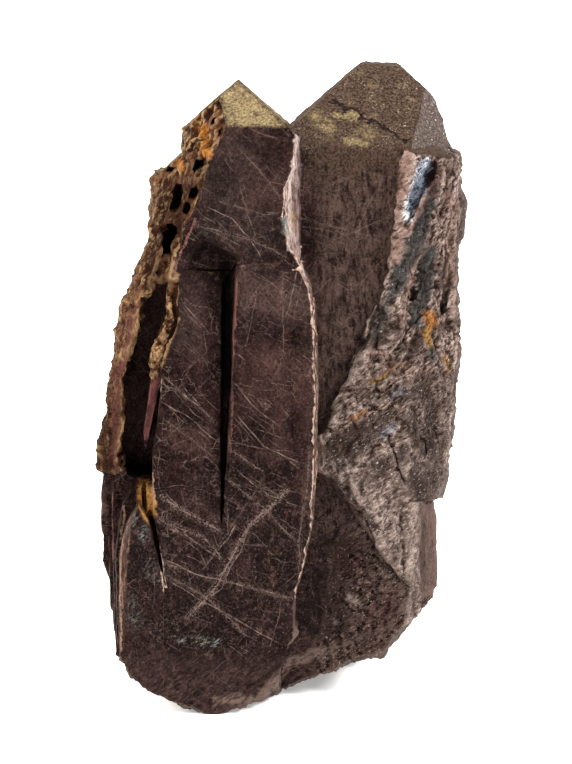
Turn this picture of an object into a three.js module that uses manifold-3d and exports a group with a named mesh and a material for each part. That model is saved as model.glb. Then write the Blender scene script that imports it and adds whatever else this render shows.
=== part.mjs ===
// A group of zircon crystals grown together side by side, standing on its broken base.
//
// The group is modelled upright first, in its growth frame: the crystals' long axis is +Z, X runs to the
// right and Y runs away from the viewer, in millimetres. Every crystal in the group is parallel to it: four
// prism faces along X and Y, under a four-sided pyramid. The whole group is then leaned back and cut off by
// the surface it stands on.
import * as THREE from "three";
import { ConvexGeometry } from "three/addons/geometries/ConvexGeometry.js";
import { mergeVertices } from "three/addons/utils/BufferGeometryUtils.js";
import Module from "manifold-3d";

const wasm = await Module();
wasm.setup();

// ---- Driving dimensions -------------------------------------------------------------------------

const LEAN_DEG = 13; // how far the group leans back from upright
const PYRAMID_SLOPE_DEG = 42.2; // zircon's {101} faces over the horizontal
const FRONT = 1.8; // depth of the tall crystal's front prism face
const RIGHT_FRONT = 5.0; // depth of the right crystal's front prism face
const CRUST = 0.7; // how far the crust stands proud of the right crystal's front face
const BELOW = -8; // where the crystals' lower ends are before the base is cut
const FLOOR = -1.2; // level of the base cut once the group is leaned back
const CUTTER_SIZE = 120; // side of the blocks that cut along a plane

const SAME_POINT = 1e-4; // corners closer than this are one
const ON_FACE = 1e-5; // a corner this near to a face is on it
const LEAST_TURN = 1e-6; // three planes that turn less than this share no corner

const TALL = { left: -8.6, right: 2.5, back: 11.8, apex: [-3.45, 6.6, 58.3] };
const RIGHT = { left: -0.3, right: 18, back: 22.5, apex: [9.85, 15.2, 61.1] };
const SHOULDER = { left: -11.7, right: -4, front: 4.0, back: 13.5, apex: [-6.4, 9.0, 53.4] };
const REAR = { left: -9.8, right: 1.5, front: 8.5, back: 20, apex: [-4.1, 14.3, 46.6] };
const REAR_SMALL = { left: 7.4, right: 14.6, front: 14.5, back: 24.6, apex: [11.0, 20.2, 33.0] };

// ---- Solids -------------------------------------------------------------------------------------

// A closed three.js geometry as a manifold-3d solid.
function solid(geometry) {
  const bare = new THREE.BufferGeometry();
  bare.setAttribute("position", geometry.getAttribute("position"));
  if (geometry.index) bare.setIndex(geometry.index);
  const merged = mergeVertices(bare, SAME_POINT);
  const mesh = new wasm.Mesh({
    numProp: 3,
    vertProperties: merged.attributes.position.array,
    triVerts: new Uint32Array(merged.index.array),
  });
  return new wasm.Manifold(mesh);
}

// A manifold-3d solid as a three.js geometry.
function geometryOf(made) {
  const mesh = made.getMesh();
  const geometry = new THREE.BufferGeometry();
  geometry.setAttribute("position", new THREE.BufferAttribute(mesh.vertProperties, 3));
  geometry.setIndex(new THREE.BufferAttribute(mesh.triVerts, 1));
  return geometry;
}

// The half-space behind a plane through a point, with its normal pointing out.
function face(normal, point) {
  const plane = new THREE.Plane();
  const out = new THREE.Vector3(...normal).normalize();
  return plane.setFromNormalAndCoplanarPoint(out, new THREE.Vector3(...point));
}

// The point that three planes share, or null if they are close to parallel.
function corner(a, b, c) {
  const m = new THREE.Matrix3().set(...a.normal, ...b.normal, ...c.normal);
  if (Math.abs(m.determinant()) < LEAST_TURN) return null;
  return new THREE.Vector3(-a.constant, -b.constant, -c.constant).applyMatrix3(m.invert());
}

// The convex solid inside a set of faces.
function insideOf(faces) {
  const corners = [];
  for (let i = 0; i < faces.length; i++)
    for (let j = i + 1; j < faces.length; j++)
      for (let k = j + 1; k < faces.length; k++) {
        const p = corner(faces[i], faces[j], faces[k]);
        if (p && faces.every((f) => f.distanceToPoint(p) < ON_FACE)) corners.push(p);
      }
  return solid(new ConvexGeometry(corners));
}

// A single crystal: four prism faces, a four-sided pyramid that meets at the apex, and any other faces.
function crystal({ left, right, front, back, apex }, others = []) {
  const slope = THREE.MathUtils.degToRad(PYRAMID_SLOPE_DEG);
  const up = Math.cos(slope);
  const out = Math.sin(slope);
  return insideOf([
    face([-1, 0, 0], [left, 0, 0]),
    face([1, 0, 0], [right, 0, 0]),
    face([0, -1, 0], [0, front, 0]),
    face([0, 1, 0], [0, back, 0]),
    face([0, 0, -1], [0, 0, BELOW]),
    face([-out, 0, up], apex),
    face([out, 0, up], apex),
    face([0, -out, up], apex),
    face([0, out, up], apex),
    ...others,
  ]);
}

// A depth that changes evenly with height, from one depth at a lower level to another at a higher one.
function leaning(lowZ, lowY, highZ, highY) {
  return (x, z) => lowY + ((highY - lowY) * (z - lowZ)) / (highZ - lowZ);
}

// A slab between a front outline and a back outline of as many points, each point given as [x, z]. A depth
// is a number or a function of x and z.
function slab(frontOutline, frontDepth, backOutline, backDepth) {
  const count = frontOutline.length;
  const depthAt = (depth, x, z) => (typeof depth === "function" ? depth(x, z) : depth);
  const points = [];
  for (const [outline, depth] of [[frontOutline, frontDepth], [backOutline, backDepth]])
    for (const [x, z] of outline) points.push(x, depthAt(depth, x, z), z);
  const shape = frontOutline.map(([x, z]) => new THREE.Vector2(x, z));
  const backShape = backOutline.map(([x, z]) => new THREE.Vector2(x, z));
  const turned = THREE.ShapeUtils.isClockWise(shape);
  const index = [];
  const add = (a, b, c) => index.push(...(turned ? [a, c, b] : [a, b, c]));
  const sign = turned ? -1 : 1;
  for (const [a, b, c] of THREE.ShapeUtils.triangulateShape(shape, [])) {
    const area = THREE.ShapeUtils.area([shape[a], shape[b], shape[c]]) * sign;
    if (area > 0) add(a, b, c);
    else add(a, c, b);
  }
  for (const [a, b, c] of THREE.ShapeUtils.triangulateShape(backShape, [])) {
    const area = THREE.ShapeUtils.area([backShape[a], backShape[b], backShape[c]]) * sign;
    const [p, q, r] = [a + count, b + count, c + count];
    if (area > 0) add(p, r, q);
    else add(p, q, r);
  }
  for (let i = 0; i < count; i++) {
    const j = (i + 1) % count;
    add(i, i + count, j);
    add(j, i + count, j + count);
  }
  const geometry = new THREE.BufferGeometry();
  geometry.setAttribute("position", new THREE.Float32BufferAttribute(points, 3));
  geometry.setIndex(index);
  return solid(geometry);
}

// The same outline moved over by dx and dz.
const shifted = (outline, dx, dz = 0) => outline.map(([x, z]) => [x + dx, z + dz]);

// A block that holds everything beyond a plane, for cutting a solid off along it.
function beyond(normal, point) {
  const out = new THREE.Vector3(...normal).normalize();
  const turn = new THREE.Quaternion().setFromUnitVectors(new THREE.Vector3(0, 0, 1), out);
  const box = new THREE.BoxGeometry(CUTTER_SIZE, CUTTER_SIZE, CUTTER_SIZE);
  box.translate(0, 0, CUTTER_SIZE / 2);
  box.applyQuaternion(turn);
  box.translate(...point);
  return solid(box);
}

// An angular pit: a squashed and turned icosahedron.
function pit([x, y, z], [width, depth, height], turnDeg) {
  const lump = new THREE.IcosahedronGeometry(0.5, 0);
  lump.scale(width, depth, height);
  lump.rotateY(THREE.MathUtils.degToRad(turnDeg));
  lump.translate(x, y, z);
  return solid(lump);
}

const joined = (parts) => parts.reduce((all, part) => all.add(part));
const without = (whole, cuts) => cuts.reduce((left, cut) => left.subtract(cut), whole);

// ---- The tall crystal and the plates on its front -----------------------------------------------

// The tall crystal's upper end. Its right front corner is lost to a rough contact with the right crystal.
function tallCrystal() {
  const whole = crystal({ ...TALL, front: FRONT }, [face([0, 0, -1], [0, 0, 36])]);
  const upper = [[2.5, 54.2], [1.8, 52.3], [1.5, 50.4], [0.5, 47.6]];
  const lower = [[0.3, 45.3], [0.9, 42.8], [2.2, 41.4]];
  const frontEdge = [...upper, ...lower];
  const backEdge = frontEdge.map(([x, z]) => [Math.max(x, 2.35), z]);
  const outside = [[6, 41], [6, 55]];
  const contact = slab([...frontEdge, ...outside], FRONT - 1, [...backEdge, ...outside], RIGHT_FRONT);
  return whole.subtract(contact);
}

// The broad front plate under it, down to the base. It spreads towards the back on its left side.
function frontPlate() {
  const left = [[-8.6, 43], [-9.6, 40.2], [-8.7, 39.6], [-8.9, 36.3], [-9.3, 34.4], [-10.4, 31.4]];
  const lowerLeft = [[-10.8, 26], [-11.3, 23.8], [-11.3, 19.5], [-10.5, 12.4], [-11.4, 10]];
  const flank = [[-14.4, 9.2], [-14.4, 4.7], [-13.4, 2.6], [-10.6, 0.8], [-6.8, -0.5], [-5.2, -1.4]];
  const foot = [[-5.2, -8], [0.6, -8], [0.4, 2.8], [1.2, 5.5], [1.8, 7.4], [1.75, 9.3], [2.0, 11.1]];
  const right = [...foot, [2.7, 13.5], [3.4, 17], [3.6, 23], [3.6, 38]];
  const front = [...left, ...lowerLeft, ...flank, ...right];
  const back = [
    ...shifted(left, -1.3),
    ...shifted(lowerLeft, -1.7),
    ...shifted(flank, -0.5),
    ...shifted(right, 0.3),
  ];
  return slab(front, FRONT, back, 12);
}

// What is missing in front of the plate's left strip, which sinks in towards the tall crystal's foot.
function sunkenStrip() {
  const upper = [[-13, 40.1], [-9.6, 40.2], [-8.0, 41.3], [-3.2, 41.4]];
  const outline = [[-13, 16.4], ...upper, [-4.0, 31], [-4.9, 16.4]];
  return slab(outline, 0, outline, leaning(16.4, FRONT, 41.2, 3.1));
}

// The raised plate on the right, nearly flush with the tall crystal over it.
function raisedPlate() {
  const left = [[-3.2, 41.5], [-3.7, 39.5], [-4.0, 31], [-4.4, 23], [-4.9, 16.2]];
  const foot = [[-4.0, 11], [1.7, 10.6], [2.7, 14], [3.6, 17.6]];
  const right = [[3.8, 22], [4.0, 28], [3.9, 34], [3.3, 39.4], [2.5, 41.4]];
  const outline = [...left, ...foot, ...right];
  const front = leaning(16.2, FRONT + 0.05, 41.7, 1.45);
  const rim = (x, z) => front(x, z) + 0.45;
  const inner = outline.map(([x, z]) => [x + (x < 0 ? 0.25 : -0.25), z > 41 ? z - 0.5 : z]);
  const bevel = slab(inner, front, outline, rim);
  return bevel.add(slab(outline, rim, outline, 9));
}

// The narrow cleft that separates the two plates, deepest against the raised one.
function cleft() {
  const right = [[-3.3, 42.2], [-4.0, 31], [-4.45, 23], [-5.0, 15.6]];
  const left = [[-5.1, 20], [-5.15, 31], [-5.2, 40.0]];
  const backRight = [[-3.7, 41.2], [-4.2, 31], [-4.6, 23], [-5.0, 16.4]];
  const backLeft = [[-4.9, 20], [-4.7, 31], [-4.6, 39.4]];
  return slab([...right, ...left], FRONT - 0.6, [...backRight, ...backLeft], 4.4);
}

// The undercut at the foot of the tall crystal's front face, over the sunken strip.
function undercut() {
  const front = [[-8.3, 40.9], [-7.9, 42.1], [-6.75, 44.1], [-3.1, 42.2], [-3.2, 40.6]];
  const back = [[-8.1, 40.7], [-7.7, 41.9], [-6.7, 43.5], [-3.5, 41.8], [-3.6, 40.6]];
  return slab(front, FRONT - 0.3, back, 3.4);
}

// The lower left plate, pointed at the top, with a thin plate behind it and a crack along its right side.
function lowerLeftPlates() {
  const tip = [-12.7, 18.7];
  const shoulder = [-11.3, 16.6];
  const left = [[-13.4, 16.8], [-13.8, 13.8], [-14.1, 9], [-14.1, 4]];
  const front = [tip, ...left, [-10.3, 4], [-10.3, 11], shoulder];
  const rimLeft = [[-12.7, 19.2], [-13.9, 17.0], [-14.4, 13.8], [-14.5, 9], [-14.5, 4]];
  const rim = [...rimLeft, [-10.2, 4], [-10.1, 11], shoulder];
  const face = slab(front, leaning(8, FRONT - 0.1, 19, FRONT - 0.5), rim, 2.6);
  const body = slab(rim, 2.6, shifted(rim, -0.2), 9);
  const behind = [[-12.4, 20.4], [-13.4, 20.1], [-14.2, 18.6], [-14.7, 14], [-14.7, 5], [-12, 5]];
  return joined([face, body, slab(behind, 3.9, shifted(behind, -0.3, 0.5), 10)]);
}

function lowerLeftCrack() {
  const right = [[-11.7, 18.6], [-11.0, 17.2], [-10.55, 14.4], [-10.15, 11.2]];
  const left = [[-10.9, 14.2], [-11.5, 16.6], [-12.1, 18.2]];
  const backRight = [[-11.6, 18.3], [-11.2, 17.2], [-10.8, 14.4], [-10.3, 11.6]];
  const backLeft = [[-10.95, 14.2], [-11.4, 16.6], [-11.9, 18.0]];
  return slab([...right, ...left], FRONT - 1, [...backRight, ...backLeft], 4.2);
}

// ---- The left flank -----------------------------------------------------------------------------

// The flank under the shoulder, stepped back in thin plates on its lower left.
function leftFlank() {
  const upper = [[-11.7, 43.5], [-12.4, 41.7], [-13.3, 39], [-14.6, 35.6], [-15.4, 30], [-15.6, 26]];
  const lower = [[-16.3, 23.8], [-16.3, 22.2], [-16.2, 18], [-16.1, 9.6], [-15.2, 8], [-14.8, -8]];
  const outline = [[-6, 43.5], ...upper, ...lower, [-6, -8]];
  const step = (right, top, depth) => {
    const outside = [[-19, 2], [-19, top + 1]];
    const cut = [[right, top], [right + 0.15, 2], ...outside];
    return slab(cut, 0, cut, depth);
  };
  const steps = [step(-12.0, 21.6, 5.8), step(-15.1, 21.6, 7.4), step(-15.5, 15.4, 8.6)];
  const bevels = [
    beyond([0, -0.94, 0.35], [-10, 3.2, 37.5]),
    beyond([-0.62, 0.72, 0.3], [-12.2, 11.6, 38]),
    beyond([-0.84, 0.5, 0.2], [-14.8, 9.2, 31]),
    beyond([-0.72, 0.66, -0.22], [-15.4, 11.2, 18]),
  ];
  return without(slab(outline, 3.2, outline, 14.5), [...bevels, ...steps]);
}

// The tall hollow that runs behind the front plate's left side, as deep as the flank's own steps.
function flankHollow() {
  const top = [[-11.0, 39.6], [-11.4, 38.7], [-12.5, 38.1]];
  const left = [...top, [-13.3, 34.3], [-14.3, 31.2], [-14.9, 23.4]];
  const foot = [[-14.3, 21.9], [-13.6, 21.2], [-12.6, 20.8], [-11.4, 20.9]];
  const right = [...foot, [-11.4, 24], [-11.9, 26.5], [-11.3, 31.6], [-10.5, 35], [-9.6, 39.9]];
  const outline = [...left, ...right];
  return slab(outline, -2, outline, 8.6);
}

// The thin blade that hangs beside the front plate, with the dark slot behind it.
function blade() {
  const left = [[-10.3, 31.6], [-11.4, 31.2], [-11.8, 28.6], [-12.2, 25.6], [-12.1, 24.1]];
  const outline = [...left, [-11.7, 24.0], [-11.3, 26.6], [-10.6, 29.6]];
  return slab(outline, 3.0, shifted(outline, -0.2, 0.3), 9.2);
}

function bladeSlot() {
  const right = [[-10.5, 30.6], [-10.7, 28.6], [-11.0, 26.4], [-11.5, 23.4]];
  const outline = [...right, [-12.0, 23.8], [-11.5, 26.2], [-10.9, 29.0]];
  return slab(outline, 0, outline, 7.6);
}

// The cells etched into the flank's contact surface, angular and narrower at the bottom. Each has an outline
// and the depth that it reaches.
const FLANK_CELLS = [
  [[[-7.5, 49.2], [-7.8, 49.7], [-7.4, 50.8], [-6.1, 51.4], [-6.4, 50.3]], 6.0],
  [[[-7.6, 47.2], [-8.2, 47.3], [-7.9, 48.3], [-7.1, 48.8], [-6.9, 48.1]], 5.4],
  [[[-9.1, 46.0], [-9.8, 45.9], [-9.6, 47.9], [-9.2, 48.8], [-8.5, 48.7], [-8.6, 47.4]], 7.4],
  [[[-8.0, 45.9], [-8.5, 46.3], [-8.4, 47.1], [-7.8, 46.8]], 5.2],
  [[[-9.6, 41.8], [-10.7, 41.6], [-10.5, 44.1], [-10.1, 45.1], [-9.2, 45.1], [-9.1, 43.8]], 7.4],
  [[[-4.9, 53.1], [-5.5, 52.4], [-5.2, 53.6], [-4.9, 53.9]], 4.8],
  [[[-5.5, 54.2], [-6.0, 54.0], [-5.7, 54.8], [-5.3, 54.9]], 5.2],
  [[[-9.4, 49.5], [-10.3, 49.5], [-9.8, 50.2], [-9.1, 50.1]], 9.0],
];

function flankPits() {
  return FLANK_CELLS.map(([outline, depth]) => {
    const middleX = outline.reduce((sum, [x]) => sum + x, 0) / outline.length;
    const middleZ = outline.reduce((sum, [, z]) => sum + z, 0) / outline.length;
    const towardMiddle = ([x, z]) => [x + 0.25 * (middleX - x), z + 0.25 * (middleZ - z)];
    return slab(outline, 0, outline.map(towardMiddle), depth);
  });
}

// The rough face where the flank grew against its surroundings. It cuts the tall crystal's left front
// corner from near the apex down.
const flankContact = () => beyond([-0.8, -0.5, 0.315], [-4.55, FRONT, 53.8]);

// ---- The right crystal --------------------------------------------------------------------------

// The line that the right crystal and its crust keep to on their right side, as [x, z] from the top down.
const RIGHT_SIDE = [
  [14.6, 56.8], [15.6, 55.6], [16.4, 51.6], [16.9, 50.7], [16.9, 47.8], [17.5, 45.8], [17.1, 43.0],
  [16.8, 37.3], [16.9, 29.4], [16.5, 24.4], [15.6, 20.1], [15.0, 18.2], [15.3, 16.8], [15.4, 10.2],
];

function rightCrystal() {
  const wornTop = face([0.06, -0.05, 0.99], [9.7, 15.2, 59.5]);
  const bevel = face([0.77, -0.52, 0.36], [13.9, 10.2, 56.6]);
  const leftCorner = face([-0.8, 0.6, 0.1], [-0.3, 19, 40]);
  const backContact = face([0.42, 0.9, 0.12], [11, 22.2, 34]);
  return crystal({ ...RIGHT, front: RIGHT_FRONT }, [wornTop, bevel, leftCorner, backContact]);
}

// Three faces of the rough contact on the right crystal's right side, as the solids that they cut away:
// a steep one above, a broad one under it, and a smooth sunken panel at the lower right.
function contactCuts() {
  const upper = beyond([-0.68, 0, 0.73], [14, 8, 36.5]);
  const steep = beyond([0.66, -0.75, -0.06], [12.4, 4.7, 43]).intersect(upper);
  const abovePanel = beyond([0, 0, 1], [14, 8, 18.6]);
  const broad = beyond([0.7, -0.71, -0.03], [13.5, 6.0, 26]).intersect(abovePanel);
  const panelTop = beyond([0, -0.3, -1], [14, 8, 18.6]);
  const panel = beyond([0.86, -0.5, -0.06], [13.7, 6.6, 15]).intersect(panelTop);
  return [steep, broad, panel, beyond([0.93, -0.36, -0.02], [16.4, 9.6, 34])];
}

// The raised rim of crust along the steep contact.
function upperCrust() {
  return insideOf([
    face([-0.75, -0.65, 0.106], [11.2, RIGHT_FRONT, 46.5]),
    face([0.1, -0.99, 0], [12, RIGHT_FRONT - CRUST, 40]),
    face([0.66, -0.75, -0.06], [12.4, 4.7, 43]),
    face([0.42, -0.3, 0.86], [14.3, 7, 51.7]),
    face([-0.5, -0.2, 0.84], [13.3, 6, 53.2]),
    face([0, 1, 0], [14, 9, 42]),
    face([0.3, -0.35, -0.89], [10.8, 4.4, 34]),
  ]);
}

// The broad lump of crust under it, which ends at the lower left in a long slanted step.
function lowerCrust() {
  return insideOf([
    face([-0.62, -0.7, 0.33], [9.7, RIGHT_FRONT, 36.4]),
    face([-0.02, -0.99, 0.02], [5, RIGHT_FRONT - CRUST, 26]),
    face([0.27, -0.96, 0.03], [8.6, 4.4, 26]),
    face([0.7, -0.71, -0.03], [13.5, 6.0, 26]),
    face([-0.7, -0.3, -0.5], [4.3, 4.4, 22.2]),
    face([0, 0, 1], [10, 9, 38.5]),
    face([0, 1, 0], [10, 9, 20]),
    face([0, 0, -1], [10, 9, 9]),
  ]);
}

// The hollows that lost flakes left in the contact.
function crustHollows() {
  return [
    pit([13.2, 5.0, 47.6], [1.8, 2.6, 7.0], 22),
    pit([14.2, 6.0, 49.4], [1.2, 2.6, 3.6], 26),
    pit([13.6, 5.8, 40.2], [1.5, 1.6, 8.0], 22),
    pit([15.9, 8.2, 37.6], [1.2, 1.8, 5.0], 14),
    pit([11.4, 4.9, 22.8], [0.7, 1.2, 5.6], -20),
    pit([13.9, 6.4, 23.8], [0.9, 2.4, 2.6], -16),
    pit([15.2, 7.6, 24.8], [0.9, 2.4, 2.6], -14),
  ];
}

function crustedCrystal() {
  const kept = [[-3, BELOW], [-3, 64], [14.6, 64], ...RIGHT_SIDE, [15.0, 9.4], [15.0, BELOW]];
  const cut = without(rightCrystal(), contactCuts());
  const whole = joined([cut, upperCrust(), lowerCrust()]).intersect(slab(kept, -5, kept, 40));
  const rearContact = [
    beyond([0.87, 0.4, 0.28], [15.6, 13.6, 52]),
    beyond([0.9, 0.42, -0.08], [17, 13.2, 38]),
    beyond([0.86, 0.5, -0.12], [15.6, 13, 21.5]),
    beyond([0.78, 0.58, -0.22], [14.4, 16.6, 20]),
  ];
  return without(whole, [...crustHollows(), ...rearContact]);
}

// ---- The back -----------------------------------------------------------------------------------

function rearCrystals() {
  const rear = crystal(REAR, [face([-0.55, 0.8, 0.2], [-8.2, 15.8, 28])]);
  const small = crystal(REAR_SMALL, [face([0.7, 0.66, 0.1], [14.4, 20.4, 20])]);
  return joined([rear, small]);
}

// ---- The base -----------------------------------------------------------------------------------

// The broken bevel across the foot of the front plates.
const frontBreak = () => beyond([0.46, -0.36, -0.81], [0.9, FRONT, 2.5]);

// The breaks around the base: under the left and right sides, and at the back.
function baseBreaks() {
  return [
    beyond([-0.5, 0.1, -0.81], [-11.5, FRONT, 1.3]),
    beyond([0.37, -0.1, -0.93], [7, RIGHT_FRONT, 3.7]),
    beyond([0.68, -0.1, -0.73], [10.6, RIGHT_FRONT, 5.5]),
    beyond([-0.15, 0.8, -0.56], [2, 23.6, 6.8]),
    beyond([0.45, 0.6, -0.66], [10, 23, 7.5]),
    beyond([-0.8, 0.5, -0.33], [-13.6, 14.2, 8.4]),
  ];
}

// ---- Assembly -----------------------------------------------------------------------------------

function grownTogether() {
  const shoulder = crystal(SHOULDER);
  const left = without(joined([tallCrystal(), frontPlate(), shoulder, leftFlank()]), [
    sunkenStrip(),
    undercut(),
    flankHollow(),
    ...flankPits(),
    flankContact(),
  ]);
  const plated = joined([left, blade(), raisedPlate(), lowerLeftPlates()]);
  const plates = without(plated, [cleft(), bladeSlot(), lowerLeftCrack(), frontBreak()]);
  return without(joined([plates, crustedCrystal(), rearCrystals()]), baseBreaks());
}

// Leans the group back, cuts it off level, and centres it over the origin with its base at Z = 0.
function standing(group) {
  const leaned = geometryOf(group).rotateX(-THREE.MathUtils.degToRad(LEAN_DEG));
  const stood = solid(leaned.translate(0, 0, -FLOOR)).subtract(beyond([0, 0, -1], [0, 0, 0]));
  const geometry = geometryOf(stood);
  geometry.computeBoundingBox();
  const { min, max } = geometry.boundingBox;
  geometry.translate(-(min.x + max.x) / 2, -(min.y + max.y) / 2, 0);
  geometry.computeVertexNormals();
  return geometry;
}

const material = new THREE.MeshStandardMaterial({ color: 0x4a3030, roughness: 0.42, metalness: 0 });
const crystals = new THREE.Mesh(standing(grownTogether()), material);
crystals.name = "zircon_crystal";

const group = new THREE.Group();
group.add(crystals);
export default group;
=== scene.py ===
"""A group of zircon crystals grown together, standing on its broken base.

The frame holds the group as one closed solid of flat faces. This scene keeps each of those faces where it
is, cuts it into small triangles, and moves the new points to give the surface what the real one has: chipped
edges, open cracks, a grainy crust on the right, a hollowed rusty flank on the left. What each point is made
of is kept on the mesh, and one procedural material reads it.

Lengths are in millimetres until the mesh is written. The group is described in its growth frame, where the
crystals' long axis is +Z, X runs to the right and Y away from the viewer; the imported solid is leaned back.
"""

import itertools
import math

import bmesh
import bpy
import numpy as np
from mathutils import Euler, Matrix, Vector, geometry
from mathutils.kdtree import KDTree


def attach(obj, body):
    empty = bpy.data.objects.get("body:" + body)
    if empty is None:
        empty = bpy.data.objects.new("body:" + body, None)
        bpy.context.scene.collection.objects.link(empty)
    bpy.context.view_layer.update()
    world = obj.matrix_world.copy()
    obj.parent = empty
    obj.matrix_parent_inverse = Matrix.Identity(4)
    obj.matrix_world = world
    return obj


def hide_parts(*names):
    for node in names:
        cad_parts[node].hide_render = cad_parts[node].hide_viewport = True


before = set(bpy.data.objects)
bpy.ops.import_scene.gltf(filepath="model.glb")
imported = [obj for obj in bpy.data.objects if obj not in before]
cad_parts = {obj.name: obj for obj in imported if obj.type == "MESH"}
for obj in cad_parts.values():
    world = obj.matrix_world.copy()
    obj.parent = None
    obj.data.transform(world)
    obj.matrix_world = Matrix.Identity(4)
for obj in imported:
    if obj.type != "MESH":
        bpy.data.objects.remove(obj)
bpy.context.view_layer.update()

NODE = "zircon_crystal"
MM = 1000.0

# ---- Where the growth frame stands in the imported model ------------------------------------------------

LEAN = math.radians(13)
STANDS_AT = np.array([-0.6, -17.87, 1.2])


def to_growth(points):
    """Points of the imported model, in millimetres, in the growth frame."""
    return turned(points - STANDS_AT, LEAN)


def to_packed(points):
    """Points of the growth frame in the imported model, in millimetres."""
    return turned(points, -LEAN) + STANDS_AT


def turned(points, angle):
    """Points or directions turned about X."""
    cos, sin = math.cos(angle), math.sin(angle)
    x, y, z = points[:, 0], points[:, 1], points[:, 2]
    return np.column_stack((x, cos * y - sin * z, sin * y + cos * z))


# ---- Noise ----------------------------------------------------------------------------------------------

# Each layer of a fractal is about half the size of the one before, and shifted so that they don't line up.
LAYER_STEP = 2.03
LAYER_SHIFT = 13.7
# Further, in cells, than any nearest seed point is.
FAR = 9.0


def random_at(cells, seed):
    """A repeatable random number from 0 to 1 for each whole-numbered cell. The multipliers are large odd
    numbers, which scatter neighbouring cells well."""
    x, y, z = (cells[..., axis].astype(np.int64).astype(np.uint32) for axis in range(3))
    mixed = x * np.uint32(374761393) + y * np.uint32(668265263) + z * np.uint32(3266489917)
    mixed = mixed + np.uint32(seed * 7919 + 17)
    mixed = (mixed ^ (mixed >> np.uint32(13))) * np.uint32(1274126177)
    mixed = (mixed ^ (mixed >> np.uint32(15))) * np.uint32(2246822519)
    return (mixed ^ (mixed >> np.uint32(16))) / 2.0**32


def smooth_noise(points, seed):
    """Smooth noise from -1 to 1, with features about one unit wide."""
    base = np.floor(points)
    part = points - base
    part = part * part * part * (part * (part * 6 - 15) + 10)
    total = np.zeros(len(points))
    for corner in itertools.product((0, 1), repeat=3):
        weight = np.prod(np.where(corner, part, 1 - part), axis=1)
        total += weight * random_at(base + corner, seed)
    return 2 * total - 1


def fractal(points, size, layers, seed, ridged=False):
    """Layers of noise, the first with features of the given size; ridged ones meet in sharp crests."""
    total = np.zeros(len(points))
    reach = 0.0
    for i in range(layers):
        layer = smooth_noise(points * (LAYER_STEP**i / size) + LAYER_SHIFT * i, seed + i)
        if ridged:
            layer = 1 - 2 * np.abs(layer)
        total += layer * 0.5**i
        reach += 0.5**i
    return total / reach


def vector_noise(points, size, seed):
    """Smooth noise from -1 to 1 along each axis."""
    return np.column_stack([smooth_noise(points / size + 31.7 * axis, seed + axis) for axis in range(3)])


def cells_of(points, size, seed):
    """The scattered seed point nearest to each point: how much further the next one is, the way to it, and
    three random numbers of its own."""
    scaled = points / size
    base = np.floor(scaled)
    nearest = np.full(len(points), FAR)
    second = np.full(len(points), FAR)
    offset = np.zeros_like(points)
    own = np.zeros_like(points)
    for step in itertools.product((-1, 0, 1), repeat=3):
        cell = base + step
        jitter = np.column_stack([random_at(cell, seed + axis) for axis in range(3)])
        away = scaled - (cell + jitter)
        distance = np.linalg.norm(away, axis=1)
        closer = distance < nearest
        second = np.where(closer, nearest, np.minimum(second, distance))
        nearest = np.where(closer, distance, nearest)
        offset[closer] = away[closer]
        own[closer] = jitter[closer]
    return second - nearest, offset, own


def rise(value, low, high):
    """0 below low, 1 above high, and smooth between them."""
    part = np.clip((value - low) / (high - low), 0, 1)
    return part * part * (3 - 2 * part)


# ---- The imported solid's faces ---------------------------------------------------------------------------

# How close corners are that are one, in metres, and how nearly parallel faces are that are one.
WELD = 1e-7
COPLANAR = math.radians(0.2)
# The upward part of a face's normal, below which it is on the underside.
STRAIGHT_DOWN = -0.99
# Edges between faces that turn by more than this are sharp; each is kept as points this far apart.
SHARP = math.radians(22)
EDGE_SAMPLE = 0.2


def flat_faces(node):
    """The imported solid's corners in the growth frame, and each flat face's ring of corners and normal."""
    shape = bmesh.new()
    shape.from_mesh(node.data)
    bmesh.ops.remove_doubles(shape, verts=shape.verts, dist=WELD)
    bmesh.ops.dissolve_limit(shape, angle_limit=COPLANAR, verts=shape.verts, edges=shape.edges)
    shape.verts.index_update()
    corners = to_growth(np.array([vert.co for vert in shape.verts]) * MM)
    rings = [[vert.index for vert in face.verts] for face in shape.faces]
    normals = turned(np.array([face.normal for face in shape.faces]), LEAN)
    shape.free()
    return corners, rings, normals


def faces_down(normal):
    """Whether a face of the growth frame is on the underside that the group stands on."""
    return turned(np.array([normal]), -LEAN)[0][2] < STRAIGHT_DOWN


def sides_of(ring):
    """The start and end of each side of a ring of corners."""
    return zip(ring, ring[1:] + ring[:1])


def edge_key(start, end):
    """One name for an edge, whichever of its two faces it is met from."""
    return min(start, end), max(start, end)


def sharp_edges(corners, rings, normals):
    """Points along the solid's sharp outer edges and along its inner ones, each in a tree."""
    beside = {}
    for face, ring in enumerate(rings):
        for start, end in sides_of(ring):
            beside.setdefault(edge_key(start, end), []).append((face, start, end))
    samples = {True: [], False: []}
    for (face, start, end), (other, _, _) in beside.values():
        if normals[face] @ normals[other] > math.cos(SHARP):
            continue
        along = corners[end] - corners[start]
        outer = np.cross(normals[face], along) @ normals[other] < 0
        count = max(1, int(np.linalg.norm(along) / EDGE_SAMPLE))
        samples[bool(outer)] += [corners[start] + along * (i / count) for i in range(count + 1)]
    return tree_of(samples[True]), tree_of(samples[False])


def tree_of(points):
    """A tree that finds the nearest of some points."""
    tree = KDTree(len(points))
    for i, point in enumerate(points):
        tree.insert(point, i)
    tree.balance()
    return tree


def distance_to(tree, points):
    """How far each point is from the nearest one in a tree."""
    return np.array([tree.find(point)[2] for point in points])


# ---- What the surface is made of --------------------------------------------------------------------------

# The kinds of surface besides the smooth crystal faces, and how rough each is: 1 is the crust's roughness.
GRAIN = {"crust": 1.0, "flank": 0.85, "olive": 0.3, "side": 0.5, "broken": 0.7, "bevel": 0.3, "gritty": 0.75}
LOOKS = tuple(GRAIN)
# The grain above which a surface is cut up as finely as the crust.
ROUGH = 0.12

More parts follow.
